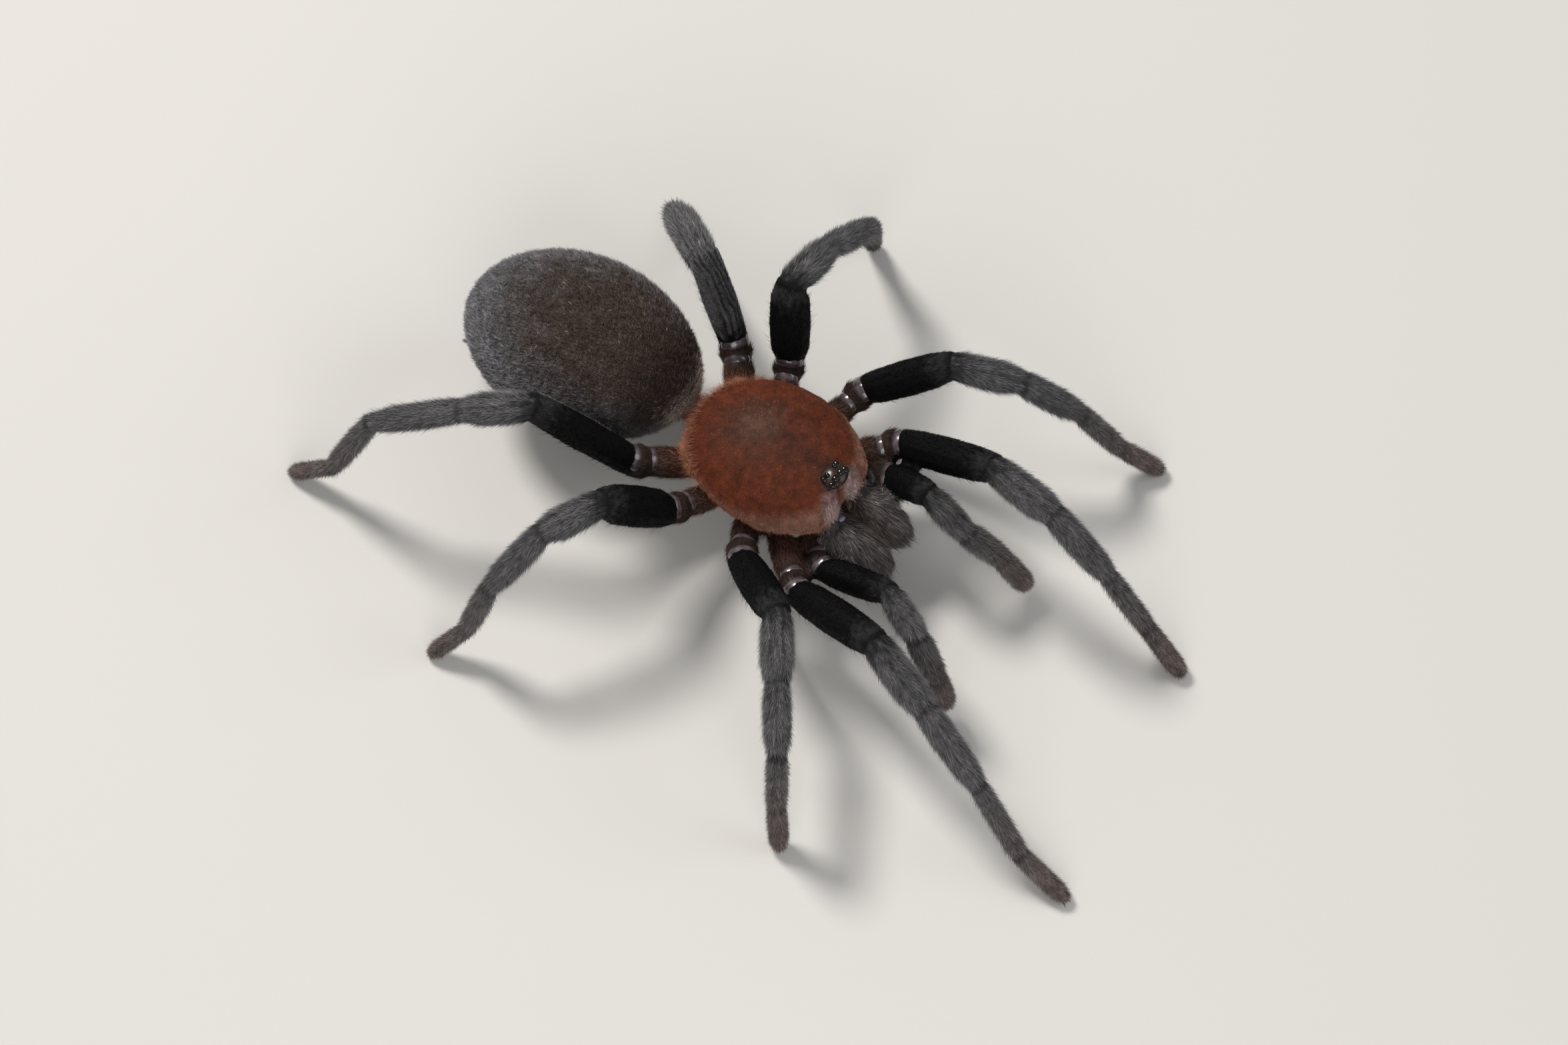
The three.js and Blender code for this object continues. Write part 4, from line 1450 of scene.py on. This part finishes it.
def rim_band(limb, place, width, height, spread_angle):
    """A polished band over the back of a limb at this place along it."""
    data = ANATOMY["limbs"][limb]
    step = int(np.clip(np.searchsorted(data["reach"], place), 1, len(data["line"]) - 2))
    middle, way, back = data["line"][step], data["ways"][step], data["backs"][step]
    near = (SKIN["limb"] == LIMBS.index(limb)) & (np.abs((SKIN["places"] - middle) @ way) < 0.45)
    near &= lengths(SKIN["places"] - middle) < 3.2
    side = np.cross(way, back)
    out = SKIN["places"][near] - middle
    angle = np.arctan2(out @ side, out @ back)
    radius = lengths(out - (out @ way)[:, None] * way)
    turns = np.linspace(-spread_angle, spread_angle, 25)
    reach = []
    for turn in turns:
        close = np.exp(-(((angle - turn) / 0.22) ** 2))
        reach.append((radius * close).sum() / max(close.sum(), 1e-6))
    reach = softened(np.array(reach), 3)
    deselect()
    bpy.ops.mesh.primitive_grid_add(x_subdivisions=24, y_subdivisions=8, size=2.0)
    band = bpy.context.object
    flat = np.empty(len(band.data.vertices) * 3)
    band.data.vertices.foreach_get("co", flat)
    flat = flat.reshape(-1, 3)
    turn, across = flat[:, 0] * spread_angle, flat[:, 1]
    fade = np.sqrt(np.clip(1 - np.abs(flat[:, 0]) ** 4, 0, 1))
    crown = height * (1 - across**2) * fade - ROOT_DEPTH
    size = np.interp(turn, turns, reach) + crown
    places = middle + back * (np.cos(turn) * size)[:, None] + side * (np.sin(turn) * size)[:, None]
    places = places + way * (across * width / 2 * (0.35 + 0.65 * fade) + 0.2 * fade)[:, None]
    place_points(band.data, places)
    band.data.update()
    pale = smooth_step(1.0, 0.35, np.abs(across)) * smooth_step(1.0, 0.55, np.abs(flat[:, 0]))
    pleats = np.cos(across * 9 + 1.5 * np.sin(turn * 3))
    cloudy = 0.8 + 0.3 * ripple(places, 0.8, 81) + 0.3 * pleats
    tint = mix(colour("shell"), colour("rim") * cloudy[:, None], pale)
    paint(band.data, "tint", np.clip(tint, 0, 1))
    return band


def jaw_plate(side):
    """The small polished plate at the root of a jaw, just ahead of the carapace's face, with a
    painted pale bluish highlight where it faces up.
    """
    middle, half = ANATOMY["boxes"]["carapace"]
    ahead = middle[1] - half[1] - SKIN["places"][:, 1]
    aside = (SKIN["places"][:, 0] - ANATOMY["middle"]) * side
    near = (SKIN["zone"] == ZONE["jaw"]) & (SKIN["normals"][:, 2] > 0.1)
    near &= (ahead > 0.15) & (ahead < 0.95) & (aside > 0.75) & (aside < 1.45)
    spot, up = SKIN["places"][near].mean(0), units(SKIN["normals"][near].mean(0))
    across = units(np.cross([0, 1.0, 0], up))
    axes = np.stack([across * 0.46, np.cross(up, across) * 0.3, up * 0.2])
    plate = unit_ball("plate", 24, 12)
    shape_points(plate, lambda p: spot + p @ axes)
    # Painted highlight: pale bluish where the plate faces up, shell brown where it turns away.
    pale = smooth_step(0.0, 0.9, np.abs(mesh_arrays(plate)[1] @ up))
    paint(plate.data, "tint", mix(colour("shell"), colour("rim") * [2.3, 2.9, 3.3], pale))
    return plate


class TARANTULA_OT_hip_bands(bpy.types.Operator):
    """Pale polished bands at the hip joints and the bare spots at the roots of the jaws, with their
    painted highlight
    """

    bl_idname = "tarantula.hip_bands"
    bl_label = "Hip bands"

    def execute(self, context):
        bands = []
        for limb in LIMBS:
            ends = ANATOMY["limbs"][limb]["ends"]
            size = 1.0 if limb in LEGS else 0.75
            for place, width in ((ends[0] - 0.15, 1.25), (ends[1] - 0.3, 1.4)):
                bands.append(rim_band(limb, place, width * size, 0.16, 1.3))
        piece = joined("hip_bands", bands)
        apply_modifier(piece, "wall", "SOLIDIFY", thickness=0.1 * MM, offset=-1.0)
        piece = joined("hip_bands", [piece, *(jaw_plate(side) for side in SIDES.values())])
        bpy.ops.object.shade_smooth()
        polish = {"Coat_Weight": 0.7, "Coat_Roughness": 0.12, "Specular_IOR_Level": 0.45}
        rim = coat_material("rim", 0.26, 0.75, 1.2, **polish)
        finish_piece(piece, "hip_bands", rim, "brown_shell")
        return {"FINISHED"}


# ---------------------------------------------------------------- stage


def soft_light(name, place, aim, size, power, tint):
    light = bpy.data.lights.new(name, "AREA")
    light.shape = "DISK"
    light.size = size
    light.energy = power
    light.color = tint
    lamp = bpy.data.objects.new(name, light)
    lamp.location = place
    lamp.rotation_euler = (Vector(aim) - Vector(place)).to_track_quat("-Z", "Y").to_euler()
    bpy.context.scene.collection.objects.link(lamp)


class TARANTULA_OT_stage(bpy.types.Operator):
    """Camera, pale floor and soft studio light"""

    bl_idname = "tarantula.stage"
    bl_label = "Stage"

    def execute(self, context):
        stage = setting("stage")
        low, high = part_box("carapace")
        aim = Vector(((low.x + high.x) / 2 - 0.8 * MM, (low.y + high.y) / 2 - 2.03 * MM, 0.0))
        a, e = stage.azimuth, stage.elevation
        back = Vector((math.sin(a) * math.cos(e), -math.cos(a) * math.cos(e), math.sin(e)))
        camera = bpy.data.cameras.new("camera")
        camera.lens, camera.sensor_width = stage.lens, 36.0
        camera.clip_start, camera.clip_end = 0.01, 20.0
        holder = bpy.data.objects.new("camera", camera)
        holder.location = aim + back * stage.distance
        holder.rotation_euler = (-back).to_track_quat("-Z", "Y").to_euler()
        context.scene.collection.objects.link(holder)
        context.scene.camera = holder

        deselect()
        # The floor lies a hair's breadth below the feet, so that the two don't share a plane.
        bpy.ops.mesh.primitive_plane_add(size=4.0, location=(0, 0, -0.02 * MM))
        floor = context.object
        floor.name = "floor"
        paper, shader = new_material("floor", 0.85, Specular_IOR_Level=0.2)
        shader.inputs["Base Color"].default_value = (*stage.floor, 1)
        bump(paper, shader, grain_node(paper, 500.0), 0.05, 0.0001)
        floor.data.materials.append(paper)

        right = back.cross(Vector((0, 0, 1))).normalized() * -1
        up = right.cross(-back).normalized()
        key = aim + (up * 0.35 - right * 0.28 + Vector((0, 0, 0.42)))
        soft_light("key", key, aim, 0.2, 5.6, (1.0, 0.98, 0.95))
        fill = aim + right * 0.5 + Vector((0, 0, 0.35))
        front = aim - up * 0.4 + Vector((0, 0, 0.4))
        soft_light("fill", fill, aim, 0.4, 0.9, (0.93, 0.96, 1.0))
        soft_light("front", front, aim, 0.35, 1.0, (1.0, 0.98, 0.96))
        world = bpy.data.worlds.new("room")
        world.use_nodes = True
        sky = world.node_tree.nodes["Background"]
        sky.inputs["Color"].default_value = (0.93, 0.95, 1.0, 1)
        sky.inputs["Strength"].default_value = 0.32
        context.scene.world = world
        context.scene.view_settings.view_transform = "Standard"
        return {"FINISHED"}


# ---------------------------------------------------------------- add-on


class TARANTULA_PT_panel(bpy.types.Panel):
    """Lists the settings and the steps of the finish"""

    bl_idname = "TARANTULA_PT_panel"
    bl_label = "Tarantula"
    bl_space_type = "VIEW_3D"
    bl_region_type = "UI"
    bl_category = "Tarantula"

    def draw(self, context):
        for name, group in SETTINGS.items():
            box = self.layout.box()
            box.label(text=group.__doc__)
            for key in group.__annotations__:
                box.prop(getattr(context.scene, name), key)
        for step in STEPS:
            self.layout.operator(step.bl_idname)


STEPS = [
    TARANTULA_OT_skin,
    TARANTULA_OT_eyes,
    TARANTULA_OT_fangs,
    TARANTULA_OT_hip_bands,
    TARANTULA_OT_hind_coat,
    TARANTULA_OT_carapace_coat,
    TARANTULA_OT_jaw_coat,
    TARANTULA_OT_limb_coats,
    TARANTULA_OT_stage,
]


def register():
    for group in SETTINGS.values():
        bpy.utils.register_class(group)
    for name, group in SETTINGS.items():
        setattr(bpy.types.Scene, name, PointerProperty(type=group))
    for step in [*STEPS, TARANTULA_PT_panel]:
        bpy.utils.register_class(step)


def unregister():
    for step in reversed([*STEPS, TARANTULA_PT_panel]):
        bpy.utils.unregister_class(step)
    for name, group in SETTINGS.items():
        delattr(bpy.types.Scene, name)
        bpy.utils.unregister_class(group)


def main():
    register()
    for step in STEPS:
        group, name = step.bl_idname.split(".")
        getattr(getattr(bpy.ops, group), name)()


if __name__ == "__main__":
    main()
